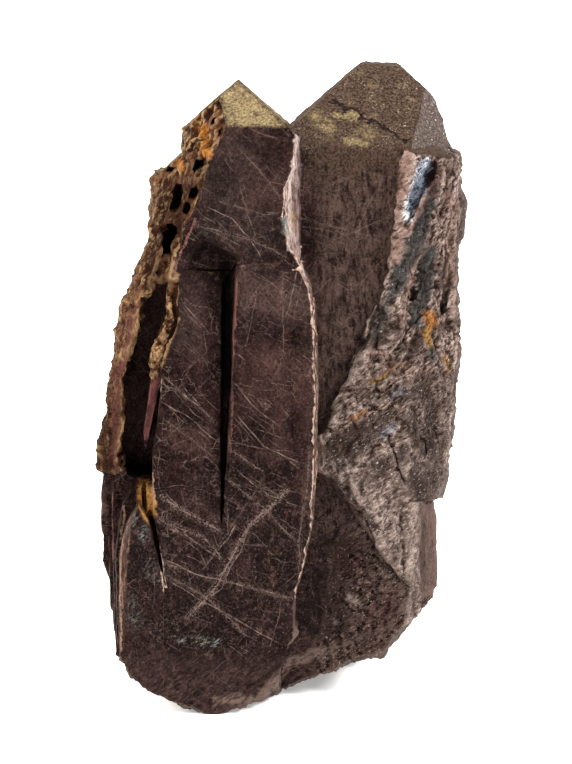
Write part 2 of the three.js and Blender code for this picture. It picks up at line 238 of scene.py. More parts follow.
# The way that the crust's ridges run.
CRUST_GRAIN = np.array([0.42, 0.0, 0.907])
# The outline of the crust on the right crystal, as (x, z) seen from the front.
CRUST_OUTLINE = np.array([
    (13.0, 53.9), (11.7, 50.8), (11.1, 48.0), (11.4, 45.6), (10.5, 42.6), (10.1, 39.1), (8.0, 34.5),
    (6.5, 31.0), (4.9, 26.7), (3.8, 24.6), (3.8, 22.0), (5.1, 20.8), (8.4, 17.0), (10.1, 13.2), (13.7, 9.0),
    (20.0, 9.0), (20.0, 50.0), (16.0, 51.0), (15.2, 51.0), (13.4, 53.5),
])


def clear_of(ring, points):
    """How far flat points lie inside a flat ring, below zero outside it."""
    inside = np.zeros(len(points), bool)
    clear = np.full(len(points), np.inf)
    for start, end in zip(ring, np.roll(ring, -1, axis=0)):
        along = end - start
        part = np.clip(((points - start) @ along) / max(along @ along, 1e-12), 0, 1)
        clear = np.minimum(clear, np.linalg.norm(points - (start + part[:, None] * along), axis=1))
        if start[1] != end[1]:
            crosses = (start[1] > points[:, 1]) != (end[1] > points[:, 1])
            inside ^= crosses & (points[:, 0] < start[0] + (points[:, 1] - start[1]) * along[0] / along[1])
    return np.where(inside, clear, -clear)


def looks_at(points, normal):
    """How much of each look a face with this normal has at each of its points, from 0 to 1."""
    x, y, z = points.T
    nx, ny, nz = normal
    every = np.ones(len(points))
    looks = dict.fromkeys(LOOKS, 0 * every)
    if faces_down(normal):
        looks["broken"] = every
        return looks
    prism = max(abs(nx), abs(ny)) > 0.995
    wander = 0.5 * fractal(points, 2.0, 3, 71)
    if nz > 0.7:
        looks["olive"] = every * ((z > 50) | ((y > 8) & (z > 28)))
    if nx > 0.6 and -0.7 < ny < -0.3 and nz > 0.25 and z.mean() > 48:
        looks["bevel"] = every
    if ny < 0.2:
        inside = clear_of(CRUST_OUTLINE, points[:, [0, 2]])
        crust = crust_at(points, normal, prism, inside + wander)
        looks["crust"] = crust * (1 - looks["olive"]) * (1 - looks["bevel"])
        # The gritty foot, below the crust and along the ground.
        low_right = rise(x - 0.25 * z + wander, 1.6, 4.0) * rise(-inside, -0.5, 0.5)
        low_right = low_right * (1 - rise(z, 15.0, 22.0))
        foot = 0.5 * (1 - rise(z + wander, 2.0, 8.0))
        looks["gritty"] = np.maximum(low_right * (y > 3), foot) * (1 - looks["crust"])
    if ny < 0.5:
        looks["flank"] = flank_at(points, normal, prism, wander, looks["olive"])
    # The front plates' right side, and the bevel at the lower left.
    if abs(nx) > 0.6 and ny < 0.5:
        looks["side"] = (y < 5.3) * ((x > 1.0) & (x < 5)) * (1 - looks["flank"])
    if nx < -0.2 and ny < -0.2:
        looks["side"] = every * (x < -12.2) * (z < 19.8) * (y < 3.2)
    # The undersides of the steps, and the broken back.
    if nz < -0.3:
        looks["broken"] = every * (z < 12)
    elif not prism and nz < 0.7 and ny > 0.15:
        looks["broken"] = every
    return looks


def crust_at(points, normal, prism, inside):
    """The crust: inside its outline on the front, and over the right crystal's side above its low step."""
    x, y, z = points.T
    crust = rise(inside, -0.1, 0.25) * (y < 14) * (y > 3)
    if normal[0] > 0.6 or (normal[0] > 0.2 and not prism):
        crust = np.maximum(crust, rise(x, 9.0, 10.0) * (y < 14) * (z < 52))
    return crust * (1 - rise(x, 13.5, 13.8) * (1 - rise(z, 18.3, 18.7)))


def flank_at(points, normal, prism, wander, olive):
    """The rusty flank: the hollowed top of the left crystals, and the ragged left edge below it."""
    x, y, z = points.T
    nx, ny, nz = normal
    left = rise(-x, 4.0, 4.5)
    high = rise(z, 38.5, 39.5)
    undercut = ((nz < 0.2) & (y < 3.5) & (x > -9.2) & (z < 45.5)) | ((x > -5.6) & (z < 43))
    rim = left * high * rise(y, 1.83, 1.86) * (nx < 0.9) * (1 - olive) * (~undercut)
    blade = rise(z + 2 * wander, 30.0, 32.0) * rise(-x, 8.8, 9.0) * (y < 6)
    edge = rise(-x + 0.12 * (z - 23) + wander, 13.6, 14.0) * rise(z, 21.0, 22.0)
    lower = left * np.maximum(blade, edge) * ((abs(y - 3.2) < 0.25) if prism and ny < -0.9 else 1.0)
    return np.maximum(rim, lower)


def grain_of(looks):
    """How rough the surface is, from 0 on the smooth crystal faces to 1 on the crust."""
    return np.clip(sum(share * looks[name] for name, share in GRAIN.items()), 0, 1)


# ---- Cutting the faces into small triangles -------------------------------------------------------------

# How far apart the points are where the surface is rough, on the underside, and along smooth faces' edges.
FINE_SPACING = 0.25
BASE_SPACING = 0.9
SMOOTH_EDGE_SPACING = 0.30
# As shares of the spacing: how far points stray, and how clear of edges they and the sparse ones keep.
JITTER = 0.2
CLEAR = 0.55
SPARSE_CLEAR = 1.0


def spread_over(ring, spacing, rough_at, rng):
    """Points inside a flat ring: close together where the surface is rough, twice as far apart elsewhere."""
    low, high = ring.min(axis=0), ring.max(axis=0)
    columns = np.arange(low[0], high[0] + spacing, spacing)
    rows = np.arange(0, (high[1] - low[1]) / spacing * 1.16 + 1)
    x, row = np.meshgrid(columns, rows)
    column = np.indices(x.shape)[1]
    y = low[1] + row * spacing * math.sqrt(3) / 2
    grid = np.column_stack(((x + (row % 2) * spacing / 2).ravel(), y.ravel()))
    sparse = ((row % 2 == 0) & ((column + row // 2) % 2 == 0)).ravel()
    grid = grid + rng.uniform(-JITTER, JITTER, grid.shape) * spacing
    clear = clear_of(ring, grid)
    grid, sparse, clear = (part[clear > CLEAR * spacing] for part in (grid, sparse, clear))
    if not len(grid):
        return grid
    return grid[rough_at(grid) | (sparse & (clear > SPARSE_CLEAR * spacing))]


class Surface:
    """The group's surface as it is cut up: its points, what each is made of, and its triangles."""

    def __init__(self, corners):
        self.points = []
        self.line = []
        self.normals = []
        self.looks = []
        self.faces_at = []
        self.triangles = []
        self.edge_points = {}
        for corner in corners:
            self.add(corner)

    def add(self, point, line=0.0):
        """A new point, and how deep in a crack it is; gives back its number."""
        self.points.append(np.array(point))
        self.line.append(line)
        self.normals.append(np.zeros(3))
        self.looks.append(np.zeros(len(LOOKS)))
        self.faces_at.append(0)
        return len(self.points) - 1

    def edge(self, start, end, spacing):
        """The points along an edge, from its start up to but not including its end."""
        key = edge_key(start, end)
        if key not in self.edge_points:
            first = self.points[key[0]]
            along = self.points[key[1]] - first
            pieces = max(1, round(np.linalg.norm(along) / spacing))
            self.edge_points[key] = [self.add(first + along * (i / pieces)) for i in range(1, pieces)]
        between = self.edge_points[key]
        return [start] + (between if key[0] == start else between[::-1])

    def fill(self, ring, normal, cracks, rng):
        """Triangles over one flat face, whose edges are cut already."""
        origin = self.points[ring[0]]
        across = np.cross(normal, [0.0, 0.0, 1.0] if abs(normal[2]) < 0.9 else [1.0, 0.0, 0.0])
        across /= np.linalg.norm(across)
        plane = np.array([across, np.cross(normal, across)])
        flat_ring = (np.array([self.points[i] for i in ring]) - origin) @ plane.T
        spacing = BASE_SPACING if faces_down(normal) else FINE_SPACING

        def rough_at(flat):
            return grain_of(looks_at(origin + flat @ plane, normal)) > ROUGH

        inner = spread_over(flat_ring, spacing, rough_at, rng)
        drawn, depth = cracks_on(cracks, origin, normal, plane, flat_ring)
        if len(drawn):
            tree = tree_of(np.column_stack((drawn, np.zeros(len(drawn)))))
            inner = np.array([p for p in inner if tree.find((*p, 0))[2] > 0.5 * spacing])
            inner = np.vstack((drawn, inner)) if len(inner) else drawn
        depth = list(depth) + [0.0] * (len(inner) - len(depth))
        flat = [Vector(p) for p in flat_ring] + [Vector(p) for p in inner]
        count = len(ring)
        loop = [(i, (i + 1) % count) for i in range(count)]
        made, _, faces, sources, _, _ = geometry.delaunay_2d_cdt(flat, loop, [list(range(count))], 1, 1e-9)
        index = []
        for place, source in zip(made, sources):
            if source and source[0] < count:
                index.append(ring[source[0]])
            else:
                line = depth[source[0] - count] if source else 0.0
                index.append(self.add(origin + place[0] * plane[0] + place[1] * plane[1], line))
        for first, *others in faces:
            pairs = zip(others, others[1:])
            self.triangles += [(index[first], index[second], index[third]) for second, third in pairs]
        self.describe(sorted(set(index)), normal)

    def describe(self, used, normal):
        """Adds a face's normal and looks to those of its points."""
        looks = looks_at(np.array([self.points[i] for i in used]), normal)
        for i, own in zip(used, np.column_stack([looks[name] for name in LOOKS])):
            self.normals[i] = self.normals[i] + normal
            self.looks[i] = self.looks[i] + own
            self.faces_at[i] += 1


def cut_surface(corners, rings, normals):
    """The whole surface: every edge is cut once, finely where either face is rough, and then every face."""
    rng = np.random.default_rng(7)
    cracks = all_cracks(rng)
    surface = Surface(corners)
    spacing = {}
    for ring, normal in zip(rings, normals):
        rough = grain_of(looks_at(corners[ring], normal)).mean() > ROUGH
        width = FINE_SPACING if rough else SMOOTH_EDGE_SPACING
        for start, end in sides_of(ring):
            key = edge_key(start, end)
            spacing[key] = min(spacing.get(key, width), width)
    for ring, normal in zip(rings, normals):
        cut = []
        for start, end in sides_of(ring):
            cut += surface.edge(start, end, spacing[edge_key(start, end)])
        surface.fill(cut, normal, cracks, rng)
    return surface


# ---- Cracks ---------------------------------------------------------------------------------------------

CRACK_STEP = 0.18
CRACK_WANDER = 0.10
CRACK_HALF_WIDTH = 0.07
# A crack is its bottom line and two lines on each side of it, this many half widths away.
CRACK_LINES = (0, 1, -1, 2.6, -2.6)
# How clear its points keep of the face's edge and of one another, and the grid that they are compared on.
EDGE_CLEAR = 0.12
POINT_CLEAR = 0.055
POINT_CELL = 0.06
# How many finer cracks lie beside each broad one, and over the rest of the front.
BESIDE_BROAD = 3
ELSEWHERE = 50
VEIN_HALO = 0.55
# How far back the faces of the front are.
FRONT_BAND = (-0.5, 6.0)

# The broad cracks of the front, as the (x, z) that each runs through.
FRONT_CRACKS = [
    [(-8.6, 30.0), (-6.9, 28.2), (-5.4, 26.4)],
    [(-8.5, 37.8), (-5.9, 34.7)],
    [(-10.3, 31.0), (-7.6, 28.6), (-5.4, 26.8)],
    [(-10.4, 28.7), (-7.6, 27.0), (-4.9, 24.6)],
    [(-10.4, 20.4), (-8.6, 18.6), (-4.7, 16.4)],
    [(-10.4, 17.6), (-7.8, 15.8), (-4.8, 13.9)],
    [(-10.4, 14.0), (-6.9, 12.3), (-1.9, 11.2), (2.0, 10.2)],
    [(-10.2, 12.1), (-6.4, 9.8), (-2.3, 7.5), (0.7, 5.8)],
    [(-8.0, 8.6), (-6.6, 9.8), (-4.9, 11.3), (-3.7, 14.0), (-2.3, 16.9), (0.5, 19.6)],
    [(-6.5, 13.1), (-3.2, 17.6)],
    [(-6.2, 46.5), (-3.8, 45.5), (-2.3, 43.7), (-1.1, 41.6)],
    [(-6.8, 45.0), (-2.9, 43.1)],
    [(2.0, 41.3), (1.3, 37.5), (1.0, 36.5)],
    [(-3.6, 27.6), (-1.0, 24.6), (2.2, 22.9)],
    [(-3.8, 22.4), (-0.6, 20.0), (2.6, 18.8)],
    [(-4.0, 30.6), (-1.6, 27.9), (0.8, 26.2)],
]
# The ragged healed veins of the front: the (x, z) that each runs through, and how strong it is.
VEINS = [
    ([(-8.1, 8.3), (-6.0, 10.6), (-3.7, 14.5), (-2.3, 17.1), (1.1, 20.5)], 1.0),
    ([(-10.6, 19.8), (-7.8, 18.0), (-4.9, 16.5)], 0.8),
    ([(-10.9, 17.7), (-6.9, 16.1), (-4.6, 13.8)], 0.7),
    ([(-10.4, 13.6), (-6.0, 12.2), (1.6, 10.3)], 0.6),
    ([(-10.1, 12.3), (-6.3, 10.3), (-2.8, 6.9)], 0.6),
    ([(-4.1, 24.2), (-1.2, 22.3)], 0.6),
    ([(-4.1, 21.2), (-1.4, 19.1), (2.3, 15.4)], 0.6),
    ([(-4.6, 15.5), (-0.3, 15.2)], 0.4),
    ([(3.2, 24.6), (3.0, 20.5), (2.3, 15.9), (2.2, 12.2)], 0.5),
    ([(-0.9, 21.9), (-2.8, 19.1), (-6.5, 13.1)], 0.4),
    ([(-9.6, 30.4), (-5.4, 26.6)], 0.5),
    ([(-10.3, 27.2), (-5.0, 23.0)], 0.35),
    ([(0.6, 40.6), (0.9, 33.0)], 0.4),
    ([(-4.6, 47.2), (-0.9, 46.0), (0.4, 46.2)], 0.45),
    ([(-8.6, 41.9), (-6.0, 41.0)], 0.5),
    ([(-7.1, 45.0), (-2.3, 43.7), (1.0, 42.1)], 0.6),
    ([(-3.2, 52.0), (-0.5, 49.0), (0.6, 47.2)], 0.5),
    ([(-3.2, 49.0), (-2.4, 45.8), (-1.2, 42.4)], 0.4),
    ([(4.9, 43.1), (10.3, 45.3), (11.5, 46.8)], 0.4),
    ([(2.9, 45.3), (7.2, 44.2), (10.3, 43.1)], 0.35),
    ([(5.4, 42.5), (7.2, 39.0), (6.9, 36.9)], 0.35),
    ([(9.2, 47.7), (7.2, 43.1)], 0.3),
    ([(3.4, 50.8), (8.0, 49.8), (11.5, 49.0)], 0.3),
]
# The directions that the finer cracks keep to, in degrees over level, and how common each is.
CRACK_DIRECTIONS = {-38: 0.32, -24: 0.22, 50: 0.2, -8: 0.16, 82: 0.1}


def wandering(route, rng):
    """Points along a route, a step apart, that wander to either side of it."""
    route = np.array(route, float)
    lengths = np.linalg.norm(np.diff(route, axis=0), axis=1)
    reach = np.concatenate(([0], np.cumsum(lengths)))
    places = np.arange(0, reach[-1], CRACK_STEP)
    line = np.column_stack([np.interp(places, reach, route[:, i]) for i in (0, 1)])
    phase = rng.uniform(0, 40)
    for size, share in ((2.6, 1.0), (0.8, 0.5)):
        for i in (0, 1):
            track = np.column_stack((places / size + phase, np.full(len(places), 7.1 * i), places * 0))
            line[:, i] += CRACK_WANDER * share * smooth_noise(track, 5 + i)
    return line


def vein_lines():
    """Every vein as a list of (x, z) points and how strong it is."""
    rng = np.random.default_rng(23)
    return [(wandering(route, rng), strength) for route, strength in VEINS]


def all_cracks(rng):
    """Every crack as a list of (x, z) points and how strong it is: the broad ones, finer ones that run beside
    them and branch off, more over the rest of the front, and the veins."""
    cracks = []
    for route in FRONT_CRACKS:
        route = np.array(route)
        length = route[-1] - route[0]
        cracks.append((wandering(route, rng), 1.0))
        for _ in range(BESIDE_BROAD):
            start, end = sorted(rng.uniform(0, 1, 2))
            part = route[0] + np.outer([start, max(end, start + 0.3)], length)
            cracks.append((wandering(part + rng.normal(0, 0.45, 2), rng), rng.uniform(0.25, 0.5)))
        twig = route[0] + rng.uniform(0.2, 0.8) * length
        heading = math.atan2(length[1], length[0]) + rng.choice([-1, 1]) * rng.uniform(0.3, 0.7)
        tip = twig + rng.uniform(1.5, 3.5) * np.array([math.cos(heading), math.sin(heading)])
        cracks.append((wandering([twig, tip], rng), 0.4))
    angles, shares = list(CRACK_DIRECTIONS), list(CRACK_DIRECTIONS.values())
    for _ in range(ELSEWHERE):
        start = np.array([rng.uniform(-14, 12), rng.uniform(0, 56)])
        angle = math.radians(rng.choice(angles, p=shares) + rng.normal(0, 8))
        length = rng.uniform(2.0, 7.0)
        end = start + length * np.array([math.cos(angle), math.sin(angle)])
        bend = (start + end) / 2 + rng.normal(0, 0.04 * length, 2)
        cracks.append((wandering([start, bend, end], rng), rng.uniform(0.15, 0.45)))
    return cracks + vein_lines()


def vein_halo(points):
    """How near each point is to a vein, seen from the front: its strength on the vein, 0 beyond its halo."""
    halo = np.zeros(len(points))
    for line, strength in vein_lines():
        tree = tree_of([(x, 0, z) for x, z in line])
        low, high = line.min(axis=0) - VEIN_HALO, line.max(axis=0) + VEIN_HALO
        flat = points[:, [0, 2]]
        near = np.all((flat > low) & (flat < high), axis=1) & (points[:, 1] < FRONT_BAND[1])
        away = distance_to(tree, points[near] * [1, 0, 1])
        halo[near] = np.maximum(halo[near], strength * np.clip(1 - away / VEIN_HALO, 0, 1))
    return halo


def cracks_on(cracks, origin, normal, plane, flat_ring):
    """The flat points of the cracks that cross a face seen from the front, and each point's depth."""
    nothing = np.zeros((0, 2)), []
    if normal[1] > -0.9 or not FRONT_BAND[0] < origin[1] < FRONT_BAND[1]:
        return nothing
    points = []
    depths = []
    for line, strength in cracks:
        rise_on_face = (line[:, 0] - origin[0]) * normal[0] + (line[:, 1] - origin[2]) * normal[2]
        solid = np.column_stack((line[:, 0], origin[1] - rise_on_face / normal[1], line[:, 1]))
        flat = (solid - origin) @ plane.T
        along = np.gradient(flat, axis=0)
        along /= np.linalg.norm(along, axis=1)[:, None]
        beside = np.column_stack((-along[:, 1], along[:, 0])) * CRACK_HALF_WIDTH
        from_end = np.minimum(np.arange(len(flat)), np.arange(len(flat))[::-1])
        for offset in CRACK_LINES:
            points.append(flat + offset * beside)
            depths.append((offset == 0) * strength * np.clip(from_end / 5, 0.15, 1))
    points, depths = np.vstack(points), np.concatenate(depths)
    kept = clear_of(flat_ring, points) > EDGE_CLEAR
    points, depths = points[kept], depths[kept]
    if not len(points):
        return nothing
    chosen = clear_of_others(points, np.argsort(-depths, kind="stable"))
    return points[chosen], list(depths[chosen])


def clear_of_others(points, order):
    """The numbers of the points to keep, taken in this order, so that no two are too close."""
    taken = {}
    chosen = []
    for i in order:
        cell = tuple(np.floor(points[i] / POINT_CELL).astype(int))
        near = [taken.get((cell[0] + a, cell[1] + b)) for a in (-1, 0, 1) for b in (-1, 0, 1)]
        if all(j is None or np.linalg.norm(points[i] - points[j]) > POINT_CLEAR for j in near):
            taken[cell] = i
            chosen.append(i)
    return chosen


# ---- Colours and patches --------------------------------------------------------------------------------

MAROON = (0.0250, 0.0118, 0.0105)
DEEP = (0.0040, 0.0016, 0.0015)
BLACK = (0.0016, 0.0008, 0.0007)
RED_BROWN = (0.072, 0.036, 0.031)
SLATE = (0.094, 0.058, 0.050)
BROWN = (0.086, 0.055, 0.044)
GREY_BROWN = (0.040, 0.030, 0.026)
LINE = (0.25, 0.178, 0.15)
RIM = (0.45, 0.31, 0.245)
# Dark crust grains, also used as painted shade.
CRUST_DARK_AND_SHADE = (0.021, 0.0105, 0.008)
CRUST = (0.172, 0.118, 0.095)
CRUST_GREY = (0.125, 0.092, 0.080)
# Pale crust grains, also the colour of fainter painted glints.
PALE_GRAIN_AND_GLINT = (0.50, 0.39, 0.34)
FRACTURE = (0.100, 0.070, 0.057)
# The colour of painted glints and sheen.
GLINT = (0.75, 0.71, 0.68)
# Pale grey of the scuffs and of a painted sheen.
SCUFF_AND_SHEEN = (0.26, 0.27, 0.25)
GREEN_GREY = (0.038, 0.041, 0.040)
# Blue-grey of two painted glints on the crust.
BLUE_GREY = (0.20, 0.23, 0.29)
TEAL = (0.11, 0.14, 0.135)
PINK = (0.28, 0.172, 0.138)
RUST_DARK = (0.018, 0.0065, 0.0035)
RUST = (0.090, 0.036, 0.017)
TAN = (0.155, 0.088, 0.050)
LOW_STRIP_BROWN = (0.068, 0.037, 0.030)
GILT_EDGE = (0.30, 0.185, 0.125)
WINE = (0.095, 0.034, 0.032)
ROSE = (0.14, 0.063, 0.053)
ORANGE = (0.40, 0.15, 0.025)
GOLD = (0.36, 0.225, 0.110)
PALE_GOLD = (0.38, 0.255, 0.135)
OLIVE_DARK = (0.062, 0.042, 0.023)
OLIVE = (0.225, 0.172, 0.086)
OCHRE = (0.36, 0.19, 0.045)
DULL_OCHRE = (0.30, 0.150, 0.046)
FOOT_BROWN = (0.038, 0.020, 0.017)
MICA_DARK = (0.035, 0.035, 0.04)
MICA = (0.30, 0.35, 0.44)
HOLLOW_RUST = (0.16, 0.068, 0.034)
TIP_DARK = (0.016, 0.009, 0.006)
TIP_BROWN = (0.070, 0.046, 0.032)
BEVEL_DARK = (0.035, 0.025, 0.021)
BEVEL = (0.115, 0.088, 0.076)
STRIP_DARK = (0.15, 0.092, 0.078)
STRIP = (0.56, 0.44, 0.40)
SIDE_DARK = (0.045, 0.022, 0.018)
SIDE = (0.20, 0.118, 0.088)

# Coloured patches: colour, (x, z) of each end, half the width, and how fully it covers. First the crust's.
CRUST_PATCHES = [
    (PINK, (12.8, 53.0), (11.9, 49.5), 0.7, 0.8),
    (PINK, (11.9, 49.5), (11.5, 46.0), 0.6, 0.8),
    (PINK, (15.3, 49.6), (12.6, 45.2), 0.55, 0.8),
    (PINK, (12.2, 45.0), (10.6, 41.5), 0.7, 0.7),
    (PINK, (13.2, 41.6), (11.6, 35.6), 0.3, 0.6),
    (PINK, (16.6, 47.0), (17.2, 37.0), 0.9, 0.5),
    (GREEN_GREY, (14.9, 48.0), (13.6, 44.8), 0.7, 0.9),
    (GREEN_GREY, (13.6, 44.4), (11.2, 39.0), 0.95, 0.9),
    (GREEN_GREY, (14.6, 42.0), (13.3, 36.0), 0.85, 0.9),
    (GREEN_GREY, (10.8, 38.0), (9.3, 34.5), 0.6, 0.6),
    (RED_BROWN, (14.6, 50.2), (14.9, 47.6), 0.6, 0.8),
    (ORANGE, (14.5, 36.2), (14.7, 35.2), 0.45, 0.8),
    (OCHRE, (14.1, 34.8), (14.6, 33.4), 0.4, 0.9),
    (OCHRE, (16.0, 32.2), (16.4, 31.2), 0.3, 0.7),
    (OCHRE, (9.0, 30.1), (9.9, 30.6), 0.20, 1.0),
    (OCHRE, (9.9, 30.6), (11.0, 31.8), 0.22, 1.0),
    (OCHRE, (11.5, 31.8), (12.2, 31.4), 0.16, 0.8),
    (ORANGE, (6.9, 26.9), (8.6, 27.4), 0.24, 0.45),
    # A paler band along the crust's lower edge: paler, finer grain, and painted light on its raised edge.
    (PALE_GRAIN_AND_GLINT, (6.2, 21.6), (9.8, 17.8), 1.4, 0.22),
    (PALE_GRAIN_AND_GLINT, (9.8, 17.8), (13.4, 12.4), 1.8, 0.16),
    (FRACTURE, (15.9, 30.0), (15.2, 21.0), 1.1, 0.6),
    (FRACTURE, (15.2, 21.0), (14.6, 12.0), 0.9, 0.6),
    (CRUST_DARK_AND_SHADE, (12.2, 26.6), (14.6, 23.4), 0.9, 0.7),
    (CRUST_DARK_AND_SHADE, (8.8, 28.6), (12.8, 29.4), 0.8, 0.55),
    (CRUST_DARK_AND_SHADE, (13.9, 30.0), (15.0, 25.0), 0.8, 0.5),
    (CRUST_DARK_AND_SHADE, (8.6, 24.6), (10.6, 21.4), 0.6, 0.4),
    (PINK, (9.4, 32.8), (12.4, 31.0), 0.8, 0.4),
    (CRUST_DARK_AND_SHADE, (13.0, 21.4), (14.2, 18.4), 0.7, 0.6),
    # Painted shadow under the crust's raised lower edge.
    (CRUST_DARK_AND_SHADE, (5.2, 21.9), (7.3, 19.0), 0.45, 0.75),
    (CRUST_DARK_AND_SHADE, (7.3, 19.0), (9.6, 16.2), 0.35, 0.75),
    (BROWN, (8.0, 31.0), (14.6, 30.6), 2.2, 0.30),
    (GREY_BROWN, (13.4, 28.0), (14.6, 20.0), 1.6, 0.40),
    # Painted glints: small blue-grey patches where grains catch the light.
    (BLUE_GREY, (10.9, 25.9), (10.2, 25.1), 0.35, 0.5),
    (BLUE_GREY, (11.6, 29.4), (10.9, 28.6), 0.25, 0.4),
    (GREEN_GREY, (14.3, 33.0), (14.8, 32.5), 0.4, 0.8),
]
# The flank's.
FLANK_PATCHES = [
    (ORANGE, (-6.7, 53.6), (-6.6, 52.9), 0.40, 0.9),
    (ORANGE, (-6.4, 52.2), (-6.2, 51.4), 0.50, 0.9),
    (ORANGE, (-9.1, 50.4), (-8.8, 49.9), 0.35, 0.8),
    (RUST_DARK, (-7.0, 50.6), (-7.6, 48.4), 1.1, 0.6),
    (RUST_DARK, (-9.6, 48.0), (-9.9, 44.4), 1.3, 0.6),
    (RUST_DARK, (-8.3, 48.2), (-8.9, 44.6), 0.9, 0.5),
    (RUST_DARK, (-10.2, 43.6), (-11.0, 39.6), 1.3, 0.6),
    (WINE, (-12.9, 37.2), (-14.4, 31.6), 0.28, 0.85),
    (WINE, (-14.4, 31.6), (-14.95, 26.5), 0.28, 0.85),
    (WINE, (-14.95, 26.5), (-14.9, 21.8), 0.28, 0.85),
    (GOLD, (-16.9, 24.4), (-16.2, 23.0), 0.3, 0.5),
    (RUST_DARK, (-16.4, 22.8), (-15.2, 21.9), 0.6, 0.6),
    (RUST_DARK, (-15.9, 30.0), (-16.2, 25.0), 0.5, 0.6),
]
# Broad darker and lighter parts of the smooth faces, some of the dark ones painted shade.
TONES_AND_SHADE = [
    (SLATE, (-7.6, 39.0), (-7.8, 34.5), 2.6, 0.26),
    (SLATE, (-2.2, 38.6), (1.6, 38.2), 2.8, 0.34),
    (GREY_BROWN, (-6.0, 52.0), (-3.0, 45.0), 5.5, 0.30),
    (RED_BROWN, (-2.4, 32.6), (3.0, 31.4), 2.6, 0.26),
    (RED_BROWN, (-9.4, 25.6), (-6.6, 24.6), 1.8, 0.30),
    (DEEP, (-9.0, 28.6), (2.5, 27.0), 3.4, 0.30),
    # Painted shade beside the slot, under the tall crystal's lower end, and in the gap beside the right
    # crystal.
    (DEEP, (-5.1, 41.0), (-4.7, 22.0), 2.0, 0.85),
    (DEEP, (-8.2, 43.4), (-4.2, 42.0), 1.6, 0.85),
    (DEEP, (3.1, 47.0), (3.2, 40.5), 0.8, 0.75),
    # Painted shade in the hollow at the left, and under the crust's lower edge.
    (DEEP, (-12.2, 37.0), (-13.0, 21.5), 2.2, 0.35),
    (DEEP, (4.6, 19.5), (8.6, 14.8), 1.4, 0.35),
    (DEEP, (-12.0, 8.0), (-1.0, 5.0), 5.0, 0.25),
    (DEEP, (-5.0, 50.0), (-2.0, 45.0), 5.0, 0.20),
    (DEEP, (4.0, 15.0), (3.4, 7.0), 2.0, 0.60),
]
# Fractures and stains on the smooth faces, one line of painted shade, and scuffs with a painted sheen.
FOOT_PATCHES = [
    (CRUST, (-5.5, 0.5), (-1.5, 0.6), 0.5, 0.6),
    (CRUST, (-1.5, 0.8), (1.0, 3.2), 0.6, 0.6),
    (CRUST, (1.0, 3.4), (6.0, 5.0), 0.5, 0.65),
    (FRACTURE, (6.0, 5.0), (10.6, 6.9), 0.4, 0.6),
    (FRACTURE, (10.6, 6.9), (13.2, 10.0), 0.4, 0.6),
    (PALE_GRAIN_AND_GLINT, (7.2, 9.9), (7.6, 9.6), 0.3, 0.5),
    (PALE_GRAIN_AND_GLINT, (5.3, 7.7), (5.6, 7.4), 0.3, 0.5),
    (BROWN, (14.9, 18.0), (15.0, 9.8), 1.4, 0.85),
    # Painted shade in the crease between the crust and the panel at the lower right.
    (DEEP, (14.0, 17.0), (14.1, 11.0), 0.3, 0.5),
    (DEEP, (5.4, 14.5), (4.8, 7.5), 2.2, 0.60),
    (WINE, (-11.1, 30.6), (-11.9, 25.2), 0.45, 0.85),
    (RED_BROWN, (-16.2, 20.0), (-16.1, 12.0), 0.25, 0.6),
    (TEAL, (0.9, 45.8), (1.2, 44.2), 0.30, 0.8),
    (GOLD, (1.7, 46.0), (2.0, 44.2), 0.22, 0.6),
    (ROSE, (1.3, 43.6), (2.2, 41.6), 0.28, 0.6),
]
SCUFFS_AND_SHEEN = [
    (SCUFF_AND_SHEEN, (-8.6, 6.3), (-5.6, 5.9), 0.6, 0.7),
    # Painted sheen: a pale grey patch standing in for a reflection on this face.
    (SCUFF_AND_SHEEN, (-12.7, 18.0), (-12.4, 16.2), 0.7, 0.45),
    (TEAL, (-13.3, 10.4), (-12.8, 7.6), 0.6, 0.40),
    (SCUFF_AND_SHEEN, (-11.8, 13.4), (-10.8, 12.2), 0.8, 0.18),
]
PATCHES = {
    "crust": CRUST_PATCHES,
    "flank": FLANK_PATCHES,
    "tones_and_shade": TONES_AND_SHADE,
    "foot": FOOT_PATCHES,
    "scuffs_and_sheen": SCUFFS_AND_SHEEN,
}
# The share of a patch's half width that it covers fully, before it falls to nothing past its edge.
CORE = 0.6
PATCH_CORE = {"tones_and_shade": 0.1, "scuffs_and_sheen": 0.2}
PAST_EDGE = 1.2


def patches_at(patches, points, core):
    """The colour that a list of patches gives each point, and how fully they cover it."""
    colour = np.zeros((len(points), 3))
    bare = np.ones(len(points))
    for shade, start, end, half_width, cover in patches:
        along = np.subtract(end, start)
        places = points[:, [0, 2]] - start
        share = np.clip(places @ along / (along @ along), 0, 1)
        away = np.linalg.norm(places - np.outer(share, along), axis=1)
        # Past every patch the colour is still that of the nearest, so that the edges blend cleanly.
        covered = cover * (1 - rise(away, core * half_width, PAST_EDGE * half_width)) + 1e-6 / (0.1 + away)
        colour = colour * (1 - covered)[:, None] + np.outer(covered, shade)
        bare *= 1 - covered
    return colour / (1 - bare)[:, None], 1 - bare


# ---- The mesh -------------------------------------------------------------------------------------------

PIECE = "zircon_group"
# Points below this stand on the ground, and all others stay above it.
GROUND = 0.02
# The mesh shades as flat on either side of edges that turn by more than this.
SHADE_SHARP = math.radians(40)
CRACK_DEPTH = 0.035
# How far a sharp edge chips, wears pale and rubs bare, and between what distances an inner one fades.
CHIP_REACH = 0.4
WEAR_REACH = 0.36
EDGE_REACH = 1.0
HOLLOW_REACH = (0.3, 1.0)
# A point that stands out this far is a full crest.
CREST = 0.12


